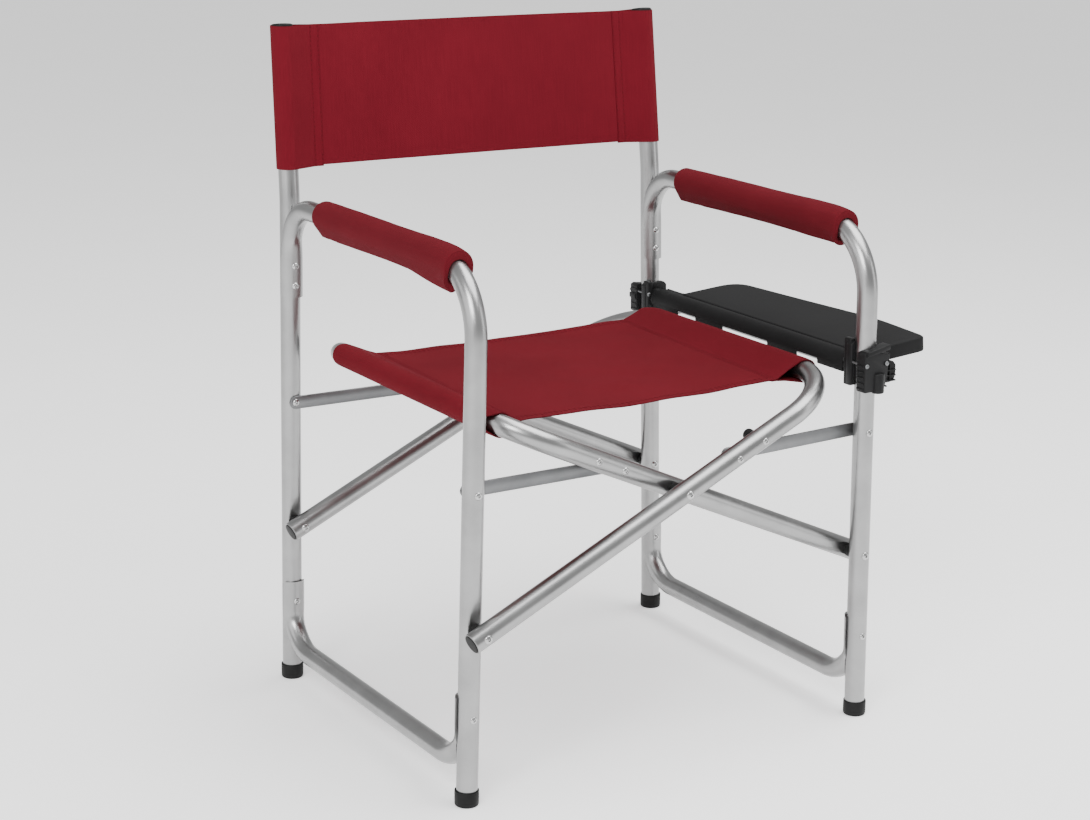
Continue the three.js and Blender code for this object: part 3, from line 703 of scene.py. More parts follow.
def seat_frame(name):
    """A U of tube: two arms from their pivots, and the rail at their far ends."""
    rail = RAIL_SIDE[name]
    body = f"seat_frame_{name}"
    ends = {end: [arm_point(rail, legs_y, r) for r in (-ARM_LENGTH - ARM_OVERHANG, RAIL_FROM_CROSSING)]
            for end, legs_y in LEGS_Y.items()}
    tip, corner = ends["front"]
    path = bent_path(ends["front"] + ends["rear"][::-1], [RAIL_BEND] * 2, bend_step=4, run_step=7)
    across = (corner - tip).cross(-rail * ALONG_Y).normalized()
    rings = [circle(p, d, across, TUBE_R) for p, d in path[1:-1]]

    def lip(station, sign):
        """The cut end of the tube, from outside to inside."""
        p, d = station
        sizes = ((0.5, TUBE_R), (0, TUBE_R - 0.45), (0, TUBE_R - 1.3), (9, TUBE_R - 1.4))
        return [circle(p + d * sign * depth, d, across, r) for depth, r in sizes]

    shape = Shape().loft(lip(path[0], 1)[::-1] + rings + lip(path[-1], -1))
    dented(shape, rail).piece(f"{body}_tube", TUBE_MAT, body, body, sharp=30)

    plug = [(0, -8), (10.95, -8), (10.95, 0.2), (10.6, 0.7), (9.6, 1.0), (0, 1.1)]
    for end, (tip, far) in ends.items():
        lathe(plug, tip, (tip - far).normalized(), 40).piece(
            f"{body}_{end}_end_plug", CAP_MAT, body, f"{body}_{end}_plug")
        seat_frame_fittings(name, end)


def on_seat_frame(name, end, node):
    """A fitting's place on an arm, from its CAD node: its x and z, and the y of the arm's middle."""
    mid = sum(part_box(node), Vector()) / 2 / MM - CENTRE
    reach = hypot(mid.x, mid.z - CROSSING_Z)
    return mid.x, LEGS_Y[end] + arm_offset(RAIL_SIDE[name], reach), mid.z


def seat_frame_fittings(name, end):
    """The rivet that a link meets, and the knob that it rests against, on one arm."""
    body = f"seat_frame_{name}"
    inward = INWARD[end]
    outside = inward * (TUBE_R - 0.1)
    x, y, z = on_seat_frame(name, end, f"{body}_{end}_link_rivet")
    half_rivet(y - outside, -inward, x, z).piece(f"{body}_{end}_link_rivet_head", RIVET_MAT, body,
                                                 f"{body}_{end}_link_rivet")

    x, y, z = on_seat_frame(name, end, f"{body}_{end}_bumper")
    base, tip = y + inward * 6, y + inward * (TUBE_R + 15)
    profile = [(0, base), (6.6, base), (7.0, tip - inward * 9), (7.5, tip - inward * 6)]
    profile += [(7.5 * c, tip - inward * 5 * (1 - s)) for s, c in quarter(6)]
    lathe(profile, (x, 0, z), sides=32).piece(f"{body}_{end}_knob", CLAMP_MAT, body, f"{body}_{end}_bumper")
    half_rivet(y - outside, -inward, x, z).piece(f"{body}_{end}_knob_rivet", RIVET_MAT, body)


def collar(bore, radius, edge, y0, y1, z, sides=36):
    """A turned ring or tube along Y, with its outer edges eased."""
    rim, step = radius - edge, edge + 0.1
    half = [(bore, y0), (rim, y0), (radius, y0 + step)]
    profile = half + [(radius, y1 - step), (rim, y1), (bore, y1), (bore, y0)]
    return lathe(profile, (0, 0, z), sides=sides, hollow=True)


def through_rivets():
    """Rivets and washers at the pivots, the crossing and the links' leg ends."""
    for name, s in SIDES.items():
        body, place = f"side_{name}", SIDE_MATRIX[name]
        for end, centre in LEGS_Y.items():
            y0, y1 = sorted((centre, centre + s * LAYER))
            rivet(y0 - TUBE_R + 0.3, y1 + TUBE_R - 0.3, PIVOT_Z).piece(
                f"{name}_{end}_pivot", RIVET_MAT, body, f"{name}_{end}_pivot_rivet", place=place)
            collar(3.1, 8.6, 0.4, y0 + TUBE_R - 3.0, y1 - TUBE_R + 3.0, PIVOT_Z).piece(
                f"{name}_{end}_pivot_spacer", CAP_MAT, body, f"{name}_{end}_pivot_washer", place=place)
            line, inward = leg_y(end, LINK_Z), INWARD[end]
            rivet(line - inward * (TUBE_R - 0.2), line + inward * (TUBE_R + 3.0), LINK_Z, 4.6, 2.0).piece(
                f"{name}_{end}_link_pivot", RIVET_MAT, body, f"{name}_{end}_link_pivot_rivet", place=place)
    for end, centre in LEGS_Y.items():
        y0, y1 = centre - CROSSING_LAYER, centre + CROSSING_LAYER
        rivet(y0 - TUBE_R + 0.3, y1 + TUBE_R - 0.3, CROSSING_Z).piece(
            f"{end}_crossing_pivot", RIVET_MAT, "seat_frame_b", f"crossing_{end}_rivet")
        collar(3.2, 7.4, 0.5, y0 + TUBE_R - 3.2, y1 - TUBE_R + 3.2, CROSSING_Z).piece(
            f"{end}_crossing_tube_spacer", CLAMP_MAT, "seat_frame_b", f"crossing_{end}_spacer")


def link(name, end):
    """A flat strip with round ends, from the leg's layer to the arm's."""
    s, body = SIDES[name], f"link_{name}_{end}"
    arm = "a" if s < 0 else "b"
    inward = INWARD[end]
    leg = Vector((s * LINK_PIVOT.x, 0, LINK_PIVOT.z))
    arm_x, arm_y, arm_z = on_seat_frame(arm, end, f"seat_frame_{arm}_{end}_link_rivet")
    length = hypot(arm_x - leg.x, arm_z - leg.z)
    slope = math.atan2(arm_z - leg.z, abs(arm_x - leg.x))
    half_w, half_t, edge = 8.2, 1.25, 0.45
    y_leg = leg_y(end, LINK_Z) + inward * (TUBE_R + 0.3 + half_t)
    y_arm = arm_y + inward * (TUBE_R + 1.2 + half_t)
    rings = []
    count = 64
    ends = 0.12  # share of the steps that each round end gets
    for k in range(count + 1):
        t = k / count
        u = -half_w + (length + 2 * half_w) * t
        if min(t, 1 - t) < ends:
            run = (length + 2 * half_w) * ends * (1 - cos(pi / 2 * min(t, 1 - t) / ends))
            u = -half_w + run if t < 0.5 else length + half_w - run
        outside = max(0.0, -u, u - length)
        w = sqrt(max(half_w ** 2 - outside ** 2, 0.02))
        y = y_leg + (y_arm - y_leg) * min(1, max(0, (u - 12) / (length - 24)))
        e = min(edge, w / 2)
        corner = [(w - e, -half_t), (w, -half_t + e), (w, half_t - e), (w - e, half_t)]
        section = corner + [(-a, -b) for a, b in corner]
        rings.append([Vector((u, y + b, a)) for a, b in section])
    turn = -slope if s < 0 else pi + slope
    place = Matrix.Translation(leg) @ Matrix.Rotation(turn, 4, "Y")
    Shape().loft(rings).piece(f"{name}_{end}_strap", STEEL_MAT, body, f"{name}_{end}_link",
                              place=place, sharp=50)
    boss = half_rivet(y_arm + inward * (half_t - 0.1), inward, length, 0, depth=2)
    boss.piece(f"{name}_{end}_strap_rivet", RIVET_MAT, body, place=place)


# ---------------------------------------------------------------- cloth
def cloth_object(name, rows, material):
    """A sheet from rows of points, thickened. UVs follow the cloth's own length and width."""
    obj = Shape().loft(rows, closed=False).object(name, material, sharp=None)
    solid = obj.modifiers.new("thickness", "SOLIDIFY")
    solid.thickness = CLOTH_T * MM
    solid.offset = 0
    settle(obj)
    smooth(obj, 55)
    return obj


def sleeve_section(radius, inward, flange):
    """A cloth loop round a tube in its cross-section, closed at a seam that is `inward` of it.

    Returns points from the flange's end along the near layer, round the tube, and back to the flange."""
    tangent = math.acos(radius / inward)
    arc = [tangent + (2 * pi - 2 * tangent) * k / 22 for k in range(23)]
    loop = [(radius * cos(a), radius * sin(a)) for a in arc]
    gap = CLOTH_T * 0.55
    flanges = [[(inward + flange * k / 3, side * gap) for k in range(4)] for side in (1, -1)]

    def run(a, b, n=7):
        return [(a[0] + (b[0] - a[0]) * k / n, a[1] + (b[1] - a[1]) * k / n) for k in range(1, n)]

    near, far = flanges[0][::-1], flanges[1]
    return near + run(near[-1], loop[0]) + loop + run(loop[-1], far[0]) + far


def tube_cut(radius, over, bend, slope):
    """Outline of a tube where a plane cuts it `over` past the start of its bend, towards `slope`."""
    turn = math.asin(min(0.93, over / bend))
    slope = Vector(slope).normalized()
    side = Vector((-slope.y, slope.x))
    shift = bend * (1 - cos(turn))
    return [slope * (shift + b / cos(turn)) + side * a for b, a in disc(radius, 36)]


def hull(points):
    """The convex outline round points, counter-clockwise."""
    points = sorted(points, key=lambda p: (p.x, p.y))
    halves = []
    for order in (points, points[::-1]):
        chain = []
        for p in order:
            while len(chain) > 1 and (chain[-1] - chain[-2]).cross(p - chain[-1]) <= 1e-9:
                chain.pop()
            chain.append(p)
        halves.append(chain[:-1])
    return halves[0] + halves[1]


def wrapped(points, start, count):
    """The convex outline round points, beginning nearest to `start`, as count evenly spaced points."""
    ring = hull(points)
    first = min(range(len(ring)), key=lambda i: (ring[i] - start).length)
    ring = ring[first:] + ring[:first + 1]
    total = [0.0]
    for a, b in zip(ring, ring[1:]):
        total.append(total[-1] + (b - a).length)
    result = []
    k = 0
    for n in range(count):
        goal = total[-1] * n / (count - 1)
        while k < len(ring) - 2 and total[k + 1] < goal:
            k += 1
        step = (goal - total[k]) / max(1e-9, total[k + 1] - total[k])
        result.append(ring[k].lerp(ring[k + 1], min(1, step)))
    return result


def ripple(p, size, height):
    return noise.noise(p / size) * height


STITCH_PITCH = 3.6
STITCH_LENGTH = 2.5
THREAD_T = 0.9


def stitches(lines):
    """Short thread stitches along polylines of (point, normal) pairs."""
    parts = []
    for line in lines:
        for (a, na), (b, nb) in zip(line, line[1:]):
            run = b - a
            count = max(1, int(run.length / STITCH_PITCH))
            direction = run.normalized()
            for k in range(count):
                t = (k + 0.5) / count
                normal = na.lerp(nb, t).normalized()
                side = direction.cross(normal).normalized()
                rings = []
                for q, scale in ((-0.5, 0.25), (-0.36, 0.9), (0.36, 0.9), (0.5, 0.25)):
                    centre = a + run * t + direction * q * STITCH_LENGTH
                    wide, high = side * 0.75 * THREAD_T * scale, normal * 0.5 * THREAD_T * scale
                    rings.append([centre + wide * sin(turn) + high * cos(turn)
                                  for turn in (pi / 4, 3 * pi / 4, 5 * pi / 4, 7 * pi / 4)])
                parts.append(Shape().loft(rings))
    return merged(*parts)


BACK_LOW, BACK_HIGH = 657.5, 830.0
BACK_SEAM = 36
BACK_FLANGE = 12
BACK_BOW = 5.0
BACK_OVERLAP = 1.5  # how far the panel reaches into the sleeves' seams


def back_rest():
    """The back: a sleeve on each post, and the panel between their seams."""
    rows = 30
    height = BACK_HIGH - BACK_LOW
    levels = [BACK_LOW + height * k / rows for k in range(rows + 1)]
    section = sleeve_section(SLEEVE_IN_R + CLOTH_T / 2 + 0.4, BACK_SEAM, BACK_FLANGE)
    for name, s in SIDES.items():
        grid = [[Vector((s * (frame_x(z) - a), post_y(z) - b, z)) for a, b in section] for z in levels]
        obj = cloth_object(f"back_sleeve_{name}", grid, BACK_LIT_MAT)
        lines = []
        for across in (BACK_SEAM + 1.2, BACK_SEAM + BACK_FLANGE - 1.2):
            for face in (-1, 1):
                lift = face * (CLOTH_T * 1.05 + 0.25)
                lines.append([(Vector((s * (frame_x(z) - across), post_y(z) + lift, z)), face * ALONG_Y)
                              for z in levels])
        thread = stitches(lines).object(f"back_stitches_{name}", THREAD_MAT)
        finish_piece(obj, f"side_{name}", *(["back_cloth"] if name == "left" else []))
        finish_piece(thread, f"side_{name}")

    columns = 60
    grid = []
    for z in [BACK_LOW + 1.5] + levels[1:]:
        half = panel_half(z)
        row = []
        for k in range(columns + 1):
            x = half * (2 * k / columns - 1)
            fade = smoothstep(half - abs(x), 24, 70)  # flat between the layers of the sleeves' seams
            bow = BACK_BOW * (1 - (x / half) ** 2) * (0.4 + 0.6 * (z - BACK_LOW) / height)
            p = Vector((x, post_y(z), z))
            row.append(p + ALONG_Y * (bow + ripple(p, 70, 1.0)) * fade)
        grid.append(row)
    panel = cloth_object("back_panel", grid, BACK_LIT_MAT)
    finish_piece(panel, "side_left")
    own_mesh(panel)


def panel_half(z):
    """Half the back panel's width at a height."""
    return frame_x(z) - BACK_SEAM + BACK_OVERLAP


SEAM_FROM_RAIL = 40
RAIL_X, RAIL_Z = on_arm(1, RAIL_FROM_CROSSING)
PANEL_HALF = RAIL_X - SEAM_FROM_RAIL
SEAT_COLUMNS = 56
# (x, y) along the seat's front and rear edges: it lies a little askew, and its corners flare out
SEAT_FRONT = [(-228, -194), (-205, -187), (-165, -174), (-83, -170), (16, -168), (165, -163), (205, -163),
              (228, -169)]
SEAT_REAR = [(-228, 173), (-210, 168), (-185, 162), (-58, 171), (136, 178), (185, 177), (210, 179),
             (228, 183)]
SEAT_SLOPE = (cos(SEAT_ANGLE), -sin(SEAT_ANGLE))  # a rail's arm, seen along the rail: inward and down


def along_edge(edge, x):
    """A seat edge's place at x, between the given points."""
    x = min(edge[-1][0], max(edge[0][0], x))
    for (xa, ya), (xb, yb) in zip(edge, edge[1:]):
        if x <= xb:
            return ya + (yb - ya) * (x - xa) / (xb - xa)


def seat_y(x, v):
    """Place along Y on the seat cloth at x, v being 0 at its front edge and 1 at its rear edge."""
    front = along_edge(SEAT_FRONT, x)
    return front + (along_edge(SEAT_REAR, x) - front) * v


def seat_level(x, v):
    """How far the seat panel lies below the rails' centre lines."""
    return 8.5 - 7 * v + 4.5 * max(0, 1 - (x / PANEL_HALF) ** 2)


def panel_spots():
    """For each column inside the panel: its x, and how much waves and hems show there."""
    for m in range(1, SEAT_COLUMNS):
        x = PANEL_HALF * (2 * m / SEAT_COLUMNS - 1)
        yield x, min(1, (PANEL_HALF - abs(x)) / 30)


def relief(x, mm, length):
    """Waves of the panel, and the folded edge's extra height, at mm from the front edge."""
    hem = 0.6 * (1 - smoothstep(min(mm, length - mm), 9.2, 10.4))
    return ripple(Vector((x, mm, 0)), 60, 1.6) + hem


def rail_section(side, v):
    """The cloth round a rail, as (inward, up) from the rail's centre line, from seam to seam."""
    count = 34
    y = seat_y(side * RAIL_X, v)
    starts = [arm_point(side, LEGS_Y[end], RAIL_FROM_CROSSING).y + INWARD[end] * RAIL_BEND for end in LEGS_Y]
    over = max(0, starts[0] - y, y - starts[1])
    radius = SLEEVE_IN_R + CLOTH_T / 2 + 0.35
    slack = radius * (1 - 0.5 * smoothstep(over, 5, 60))
    seam = Vector((SEAM_FROM_RAIL, -seat_level(PANEL_HALF, v)))
    points = tube_cut(radius, over, RAIL_BEND, SEAT_SLOPE)
    points += [p - Vector((radius - slack, 0)) for p in tube_cut(slack, 0, RAIL_BEND, SEAT_SLOPE)]
    ring = wrapped(points + [seam], seam, count)
    if ring[1].y < ring[-2].y:
        ring.reverse()
    for k, p in enumerate(ring):
        p.y += CLOTH_T * 0.55 * smoothstep((p - seam).length, 14, 0) * (1 if k < count / 2 else -1)
    return ring + [Vector((seam.x + 7 * k / 3, ring[-1].y)) for k in range(1, 4)]


def seat_cloth():
    """The seat: one sheet, turned round each rail and sewn back to itself."""
    length = seat_y(0, 1) - seat_y(0, 0)
    ends = [0, 0.5, 2.5, 6, 9.2, 10.4, 12, 15]
    spots = ends + [20 + (length - 40) * k / 62 for k in range(63)] + [length - e for e in ends[::-1]]
    grid = []
    for mm in spots:
        v = mm / length
        sides = {s: [Vector((s * (RAIL_X - a), 0, RAIL_Z + b)) for a, b in rail_section(s, v)]
                 for s in (-1, 1)}
        panel = [Vector((x, 0, RAIL_Z - seat_level(x, v) + CLOTH_T * 0.55 + relief(x, mm, length) * fade))
                 for x, fade in panel_spots()]
        row = sides[-1][::-1] + panel + sides[1]
        for p in row:
            p.y = seat_y(p.x, v)
        grid.append(row)
    obj = cloth_object("seat_sheet", grid, SEAT_SHADED_MAT)

    def stitch(x, mm, lift, face):
        p = Vector((x, seat_y(x, mm / length), RAIL_Z - seat_level(x, mm / length) + face * (lift + 0.15)))
        return p, Vector((0, 0, face))

    lines = []
    for s in (-1, 1):
        for across in (1.6, 6.2):
            for face, lift in ((1, CLOTH_T * 1.05), (-1, CLOTH_T * 1.15)):
                lines.append([stitch(s * (PANEL_HALF - across), mm, lift, face) for mm in spots[2:-2:2]])
    for edge in (7.6, 12.4, length - 7.6, length - 12.4):
        lines.append([stitch(x, edge, CLOTH_T * 1.05 + relief(x, edge, length) * fade, 1)
                      for x, fade in panel_spots()])
    thread = stitches(lines).object("seat_stitches", THREAD_MAT)
    for item in (obj, thread):
        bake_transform(item)
    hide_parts("seat_cloth")


# each sleeve's front and rear ends, and its flap's tip and drop
SLEEVES = {"left": (-190, 140, -176, 34), "right": (-187, 156, -178, 27)}
PAD_OUTER, PAD_INNER = 18.2, 13.0


def armrest_sleeve(name):
    """A padded sleeve round the armrest, open at both ends, its seam hanging as a keel below."""
    front, rear, flap_front, flap_drop = SLEEVES[name]
    count = 64
    rows = 66
    bend = FRONT_Y + ARM_FRONT_BEND

    def outline(y, radius, keel):
        """The sleeve's outline (x, z) at y, from the bottom round to the bottom."""
        over = max(0, bend - y)
        points = tube_cut(radius - 0.4, over, ARM_FRONT_BEND, (0, -1))
        if keel:
            rise = 0.8 - 0.4 * ARM_FRONT_BEND * (1 - cos(math.asin(over / ARM_FRONT_BEND)))
            points += [p + Vector((0, rise)) for p in tube_cut(radius, 0, ARM_FRONT_BEND, (0, -1))]
            points += [Vector((side * 1.7, -keel)) for side in (-1, 1)]
        ring = wrapped(points, Vector((0, -60)), count + 1)
        if ring[1].x > ring[-2].x:
            ring.reverse()
        return ring[:count]

    def place(p, v):
        """Slants both ends, so that the flap hangs further back than the opening."""
        hang = smoothstep(-p.y, 8, flap_drop)
        y_front = front + (flap_front - front) * hang
        y = y_front + (rear + 7 * hang - y_front) * v
        return Vector((p.x, y, ARM_Z + p.y + ripple(Vector((p.x, y, p.y)), 42, 0.5)))

    outer, inner = [], []
    for k in range(rows + 1):
        v = k / rows
        y = front + (rear - front) * v
        keel = 25.0 + (flap_drop - 25.0) * (1 - smoothstep(v, 0.0, 0.37)) + 0.5 * sin(9 * v)
        for rings, radius, low in ((outer, PAD_OUTER, keel), (inner, PAD_INNER, 0)):
            rings.append([place(p, v) for p in outline(y, radius, low)])
    shape = Shape().loft(outer + inner[::-1], cap_start=False, cap_end=False)
    base = (len(outer) + len(inner) - 1) * count
    for i in range(count):  # close the front rim
        j = (i + 1) % count
        shape.face([base + i, base + j, j, i], [(0, 0), (0, 1), (1, 1), (1, 0)])
    obj = shape.object(f"{name}_armrest_padding", PAD_MAT, SIDE_MATRIX[name], sharp=60)
    bevel(obj, 1.2, 3, 50)
    finish_piece(obj, f"side_{name}", f"{name}_armrest_sleeve")


# ---------------------------------------------------------------- side table
TABLE_TILT = radians(4)
TABLE_T = 18
LIP_R = 14
LIP_IN_R = 10.6
TABLE_LOCAL_Z = TABLE_AXIS.z / cos(LEAN)
CLAMP_MATRIX = SIDE_MATRIX["right"] @ Matrix.Translation((0, 0, TABLE_LOCAL_Z))
TABLE_MATRIX = CLAMP_MATRIX @ Matrix.Rotation(-TABLE_TILT, 4, "Y")
# corners of the tabletop seen from above, with the radius of each rounded corner
TOP_CORNERS = [((5, -203), 3.6), ((41, -203), 1.5), ((41, -216), 4.2), ((107, -216), 13),
               ((116.5, -110), 400), ((106, 30), 420), ((97, 168), 34), ((5, 168), 5)]
POCKET = [(14, -198), (45, -198), (45, -211), (100, -211), (110, -200), (110.5, -110), (101, 30), (93, 118),
          (84, 150), (60, 163), (14, 163)]
LIP_CUTS = [(-153, -109), (-50, 50), (109, 153)]


def rounded_outline(corners):
    """Points along a closed outline whose corners are rounded."""
    points = []
    count = len(corners)
    for i, ((x, y), radius) in enumerate(corners):
        here = Vector((x, y))
        before = Vector(corners[i - 1][0]) - here
        after = Vector(corners[(i + 1) % count][0]) - here
        half = before.angle(after) / 2
        reach = min(radius / math.tan(half), before.length * 0.48, after.length * 0.48)
        start, end = here + before.normalized() * reach, here + after.normalized() * reach
        steps = max(3, int(reach / 4))
        for k in range(steps + 1):
            t = k / steps
            points.append(start.lerp(here, t).lerp(here.lerp(end, t), t))
    return points


def inset_outline(points, distance):
    """Moves an outline inward along its normals."""
    count = len(points)
    moved = []
    for i, p in enumerate(points):
        before = (p - points[i - 1]).normalized()
        after = (points[(i + 1) % count] - p).normalized()
        normal_a, normal_b = Vector((-before.y, before.x)), Vector((-after.y, after.x))
        normal = (normal_a + normal_b).normalized()
        scale = 1 / max(0.5, normal.dot(normal_a))
        moved.append(p + normal * distance * scale)
    return moved


def tabletop():
    def part(shape):
        return shape.object("part", TABLE_MAT, TABLE_MATRIX)

    outline = rounded_outline(TOP_CORNERS)
    top = LIP_R + 0.5
    low = LIP_R - TABLE_T
    levels = [(2.0, low), (0.9, low + 0.1), (0.25, low + 0.6), (0, low + 1.5)]
    levels += [(0, low + 1.5 + (top - low - 4.7) * k / 3) for k in range(1, 4)]
    levels += [(3.2 * (1 - c), top - 3.2 * (1 - s)) for s, c in quarter(6, 1)]
    rings = [[Vector((p.x, p.y, z)) for p in inset_outline(outline, d)] for d, z in levels]
    plate = Shape().loft(rings).object("table_tray", TABLE_MAT, TABLE_MATRIX, sharp=45)
    pocket = Shape().loft([[Vector((x, y, z)) for x, y in POCKET] for z in (low - 1, top - 3.6)])
    combine(plate, [part(pocket)], "DIFFERENCE")

    front, rear = FRONT_Y + 27, post_y(TABLE_LOCAL_Z) - 27
    lip = [(LIP_R * cos(radians(a)), LIP_R * sin(radians(a))) for a in range(60, 181, 8)]
    lip += [(-LIP_R, -8), (-LIP_R + 0.8, -9.2), (-LIP_R + 2.9, -9.2), (-LIP_IN_R, -8.5)]
    lip += [(LIP_IN_R * cos(radians(a)), LIP_IN_R * sin(radians(a))) for a in range(180, -1, -10)]
    lip += [(LIP_IN_R, -3.0), (13, -3.0), (13, 12.5)]
    hook = part(prism(lip, front, rear))
    combine(hook, [part(prism([(-20, -12), (-6, -12), (-6, -2.2), (-20, -2.2)], *cut)) for cut in LIP_CUTS],
            "DIFFERENCE")
    bevel(hook, 0.7, 2, 40)
    combine(plate, [hook])
    combine(plate, [part(block(13.3, 108 if y < 60 else 96, y - 1, y + 1, low + 4, top - 3))
                    for y in (-150, -90, -30, 30, 90, 140)])
    finish_joined(plate, "table_tray", "table", "tabletop")


def table_tube():
    tube = collar(7.9, 9.5, 0.4, FRONT_Y + 20.2, post_y(TABLE_LOCAL_Z) - 20.2, 0, 40)
    tube.piece("table_support_tube", STEEL_MAT, "side_right", "table_tube", place=CLAMP_MATRIX)


JAW_HALF = 17.5
TRAY_ARM = 54  # reach of the clamp's arm under the tray


def tray_height(x):
    """Height of the tray's underside, less a small gap."""
    return LIP_R - TABLE_T + math.tan(TABLE_TILT) * x - 0.4


def clamp(end):
    """Two jaws on a leg. The fixed one holds the table's tube and has the arm that the tray rests on."""
    toward = INWARD[end]  # from the leg to the table's tube
    w = JAW_HALF

    def line(z):
        return leg_y(end, z + TABLE_LOCAL_Z)

    def y(a, b):
        return sorted((line(0) + toward * a, line(0) + toward * b))

    def raw(shape):
        return shape.object("part", CLAMP_MAT, CLAMP_MATRIX)

    def part(shape, round_by=0.9, steps=2):
        return bevel(raw(shape), round_by, steps, 30)

    def leg_hole():
        return raw(Shape().loft([circle(Vector((0, line(z), z)), Vector((0, 0, 1)), ACROSS, TUBE_R + 0.2, 48)
                                 for z in (-60, 0, 60)]))

    # fixed jaw
    z0, z1 = (-22, 32) if end == "front" else (-22, 21)
    face = [(-w, z0), (w, z0), (w, z1 - 4), (w - 4, z1), (-w + 3, z1), (-w, z1 - 3)]
    body = part(prism(face, *y(5, 15)), 1.4)
    extras = [
        part(prism(disc(13.6, 40), *y(13, 26.6)), 0.8),
        part(block(-w + 1, -w + 8.5, *y(8, 21), z0 - 1, z1 + 3), 1.6, 3),
        part(block(w - 8.5, w - 1, *y(8, 19), z0 - 1, 6), 1.6, 3),
    ]
    reach = TRAY_ARM
    arm = [(12, -27), (reach - 10, -27)] + [(reach - 10 * (1 - s), -17 - 10 * c) for s, c in quarter(6, 1)]
    arm += [(reach, tray_height(reach) - 5), (reach - 4, tray_height(reach - 4)), (22, tray_height(22)),
            (12, tray_height(12) - 2)]
    extras.append(part(prism(arm, *y(8, 17)), 0.8))
    for z in (-24.5, -18, -11.5):
        extras.append(part(block(16, reach - 1.2, *y(5.6, 18), z - 0.9, z + 0.9), 0.3, 1))
    for x in (24, 34, 44):
        extras.append(part(block(x - 0.9, x + 0.9, *y(6.2, 17.6), -26, tray_height(x) - 1.5), 0.3, 1))
    combine(body, extras)
    combine(body, [leg_hole(), raw(prism(disc(9.8, 40), *y(19.5, 34)))], "DIFFERENCE")
    finish_joined(body, f"{end}_clamp_inner_jaw", "side_right", f"table_{end}_clamp_fixed_jaw")

    # cover jaw
    z0, z1 = (-26, 26) if end == "front" else (-22, 20)
    plate = part(prism([(-w, z0 + 1), (-w + 1, z0), (w - 6, z0), (w - 3, z0 + 8), (w, 0), (w, z1 - 7),
                        (-w + 4, z1 - 3), (-w, z1 - 5)], *y(-21.5, -6)), 1.0)
    if end == "front":
        boss = [[Vector((x, line(0) - 19.5 + y_off, z)) for x, y_off in disc(7.6, 28, 4.5)]
                for z in (z0 - 2.5, -4)]
        lip = [(-w + 2, z1 - 8), (w + 1, z1 - 2), (w + 1, z1 + 4.5), (-w + 3, z1 - 2.5)]
        extras = [part(Shape().loft(boss), 1.6, 3), part(prism(lip, *y(-24.5, -9)), 1.2),
                  part(prism(disc(4.4, 24, w + 1, 15), *y(-19, -12)), 0.8)]
    else:
        extras = [part(block(-w - 1.5, -w + 4, *y(-22.5, -8), -3.5, 3.5), 0.8),
                  part(block(-10, 10, *y(-24, -18), z0 + 4, z1 - 6), 1.2)]
    for z in range(z0 + 4, z0 + 33, 7):  # ribs on the edges beside the leg
        for x in (-w, w):
            extras.append(part(block(x - 1.3, x + 1.3, *y(-19.5, -7), z - 0.9, z + 0.9), 0.3, 1))
    combine(plate, extras)
    combine(plate, [leg_hole()], "DIFFERENCE")
    finish_joined(plate, f"{end}_clamp_outer_jaw", "side_right", f"table_{end}_clamp_cover_jaw")

    a, b = y(-22.3, 20.3)
    profile = dome(2.9, a, 1.8, -1)[::-1] + [(1.5, a), (1.5, b)] + dome(2.9, b, 1.8, 1)
    for which, x in (("inner", 2.6 - w), ("outer", w - 2.6)):
        lathe(profile, (x, 0, 7), sides=20).piece(
            f"{end}_clamp_{which}_screw", STEEL_MAT, "side_right", f"table_{end}_clamp_{which}_bolt",
            place=CLAMP_MATRIX)


# ---------------------------------------------------------------- camera, floor and light
LENS_SHARE = 2360.4 / 1090  # the lens's focal length as a share of the picture's width
CAMERA_PLACE = Vector((-1488.6, -2383.3, 1112.7))
CAMERA_YAW, CAMERA_PITCH, CAMERA_ROLL = radians(31.293), radians(14.752), radians(0.680)
FLOOR_HALF = 40000


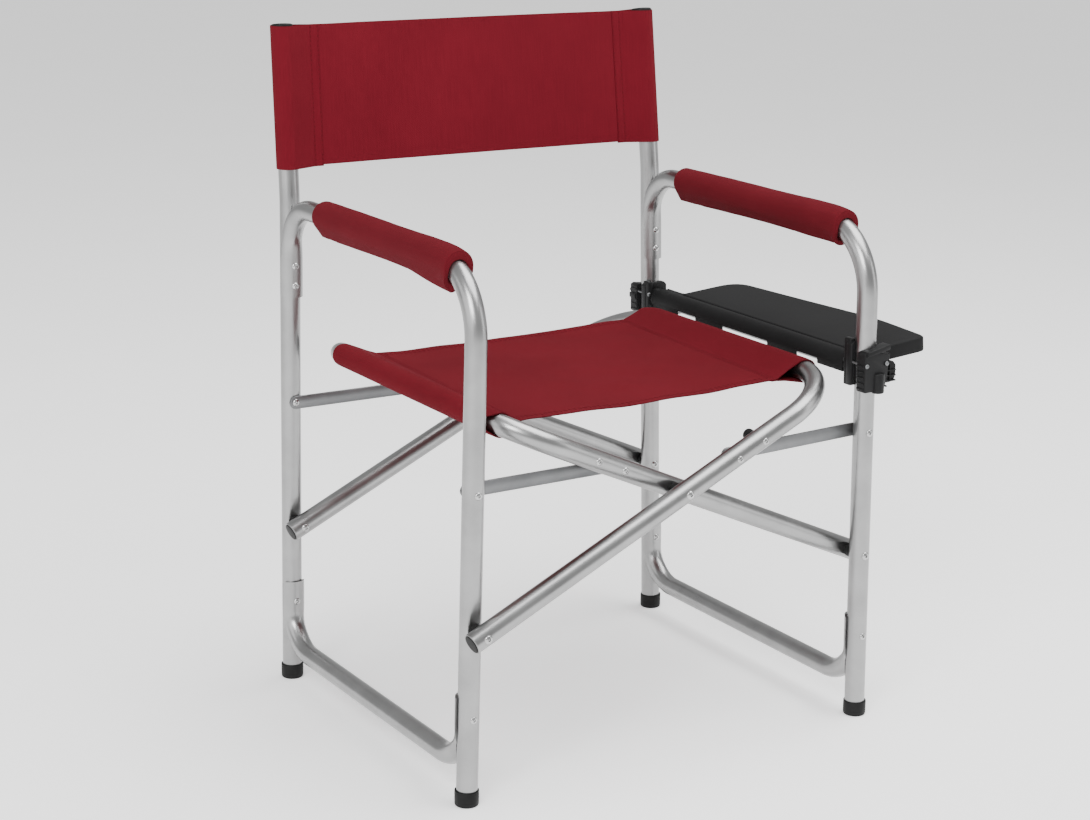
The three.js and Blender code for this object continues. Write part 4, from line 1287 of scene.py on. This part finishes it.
def look():
    """The camera, fitted to the photo."""
    yaw, pitch, roll = CAMERA_YAW, CAMERA_PITCH, CAMERA_ROLL
    forward = Vector((sin(yaw) * cos(pitch), cos(yaw) * cos(pitch), -sin(pitch)))
    right = forward.cross(Vector((0, 0, 1))).normalized()
    up = right.cross(forward)
    right, up = right * cos(roll) + up * sin(roll), up * cos(roll) - right * sin(roll)
    data = bpy.data.cameras.new("camera")
    data.sensor_width = 36
    data.lens = LENS_SHARE * data.sensor_width
    data.clip_start, data.clip_end = 0.05, 200
    camera = bpy.data.objects.new("camera", data)
    bpy.context.scene.collection.objects.link(camera)
    rotation = Matrix((right, up, -forward)).transposed().to_4x4()
    camera.matrix_world = Matrix.Translation((CENTRE + CAMERA_PLACE) * MM) @ rotation
    bpy.context.scene.camera = camera


def area_light(name, place, aim, size, power):
    """A white rectangular light. Place, aim and size are in metres."""
    data = bpy.data.lights.new(name, "AREA")
    data.shape = "RECTANGLE"
    data.size, data.size_y = size
    data.energy = power
    light = bpy.data.objects.new(name, data)
    light.location = place
    light.rotation_mode = "QUATERNION"
    light.rotation_quaternion = (Vector(aim) - Vector(place)).to_track_quat("-Z", "Y")
    bpy.context.scene.collection.objects.link(light)


def studio():
    graph = Graph("floor_white", None, Roughness=0.9, Specular_IOR_Level=0.1,
                  Emission_Color=(1, 1, 1, 1), Emission_Strength=0.55)
    light, lighter = grey(0.86, 0.88)
    graph.colour(graph.noise(graph.coords("Object"), 2, 2), (0.3, light), (0.7, lighter))
    floor = Shape()
    floor.points = [Vector((x, y, 0)) * FLOOR_HALF for x, y in ((-1, -1), (1, -1), (1, 1), (-1, 1))]
    floor.face([0, 1, 2, 3], [(0, 0), (1, 0), (1, 1), (0, 1)])
    floor.object("floor", graph.material)
    world = bpy.data.worlds.new("studio")
    world.use_nodes = True
    background = world.node_tree.nodes["Background"]
    background.inputs["Color"].default_value = (1, 1, 1, 1)
    background.inputs["Strength"].default_value = 0.62
    bpy.context.scene.world = world
    area_light("key", (-3.0, -2.6, 3.2), (0, 0, 0.4), (2.2, 2.2), 190)
    area_light("left_wall", (-4.2, -0.6, 1.6), (0, 0, 0.5), (5.0, 2.4), 70)
    area_light("top", (1.0, -0.6, 3.1), (0, 0, 0.4), (3.0, 2.4), 150)
    area_light("fill", (3.2, -2.4, 1.4), (0, 0, 0.4), (1.2, 2.4), 22)


look()
studio()
for side_name in SIDES:
    side_frame(side_name)
    post_cap(side_name)
    armrest_sleeve(side_name)
    for end_name in ("front", "rear"):
        foot_cap(side_name, end_name)
        link(side_name, end_name)
for frame_name in RAIL_SIDE:
    seat_frame(frame_name)
through_rivets()
back_rest()
seat_cloth()
tabletop()
table_tube()
clamp("front")
clamp("rear")
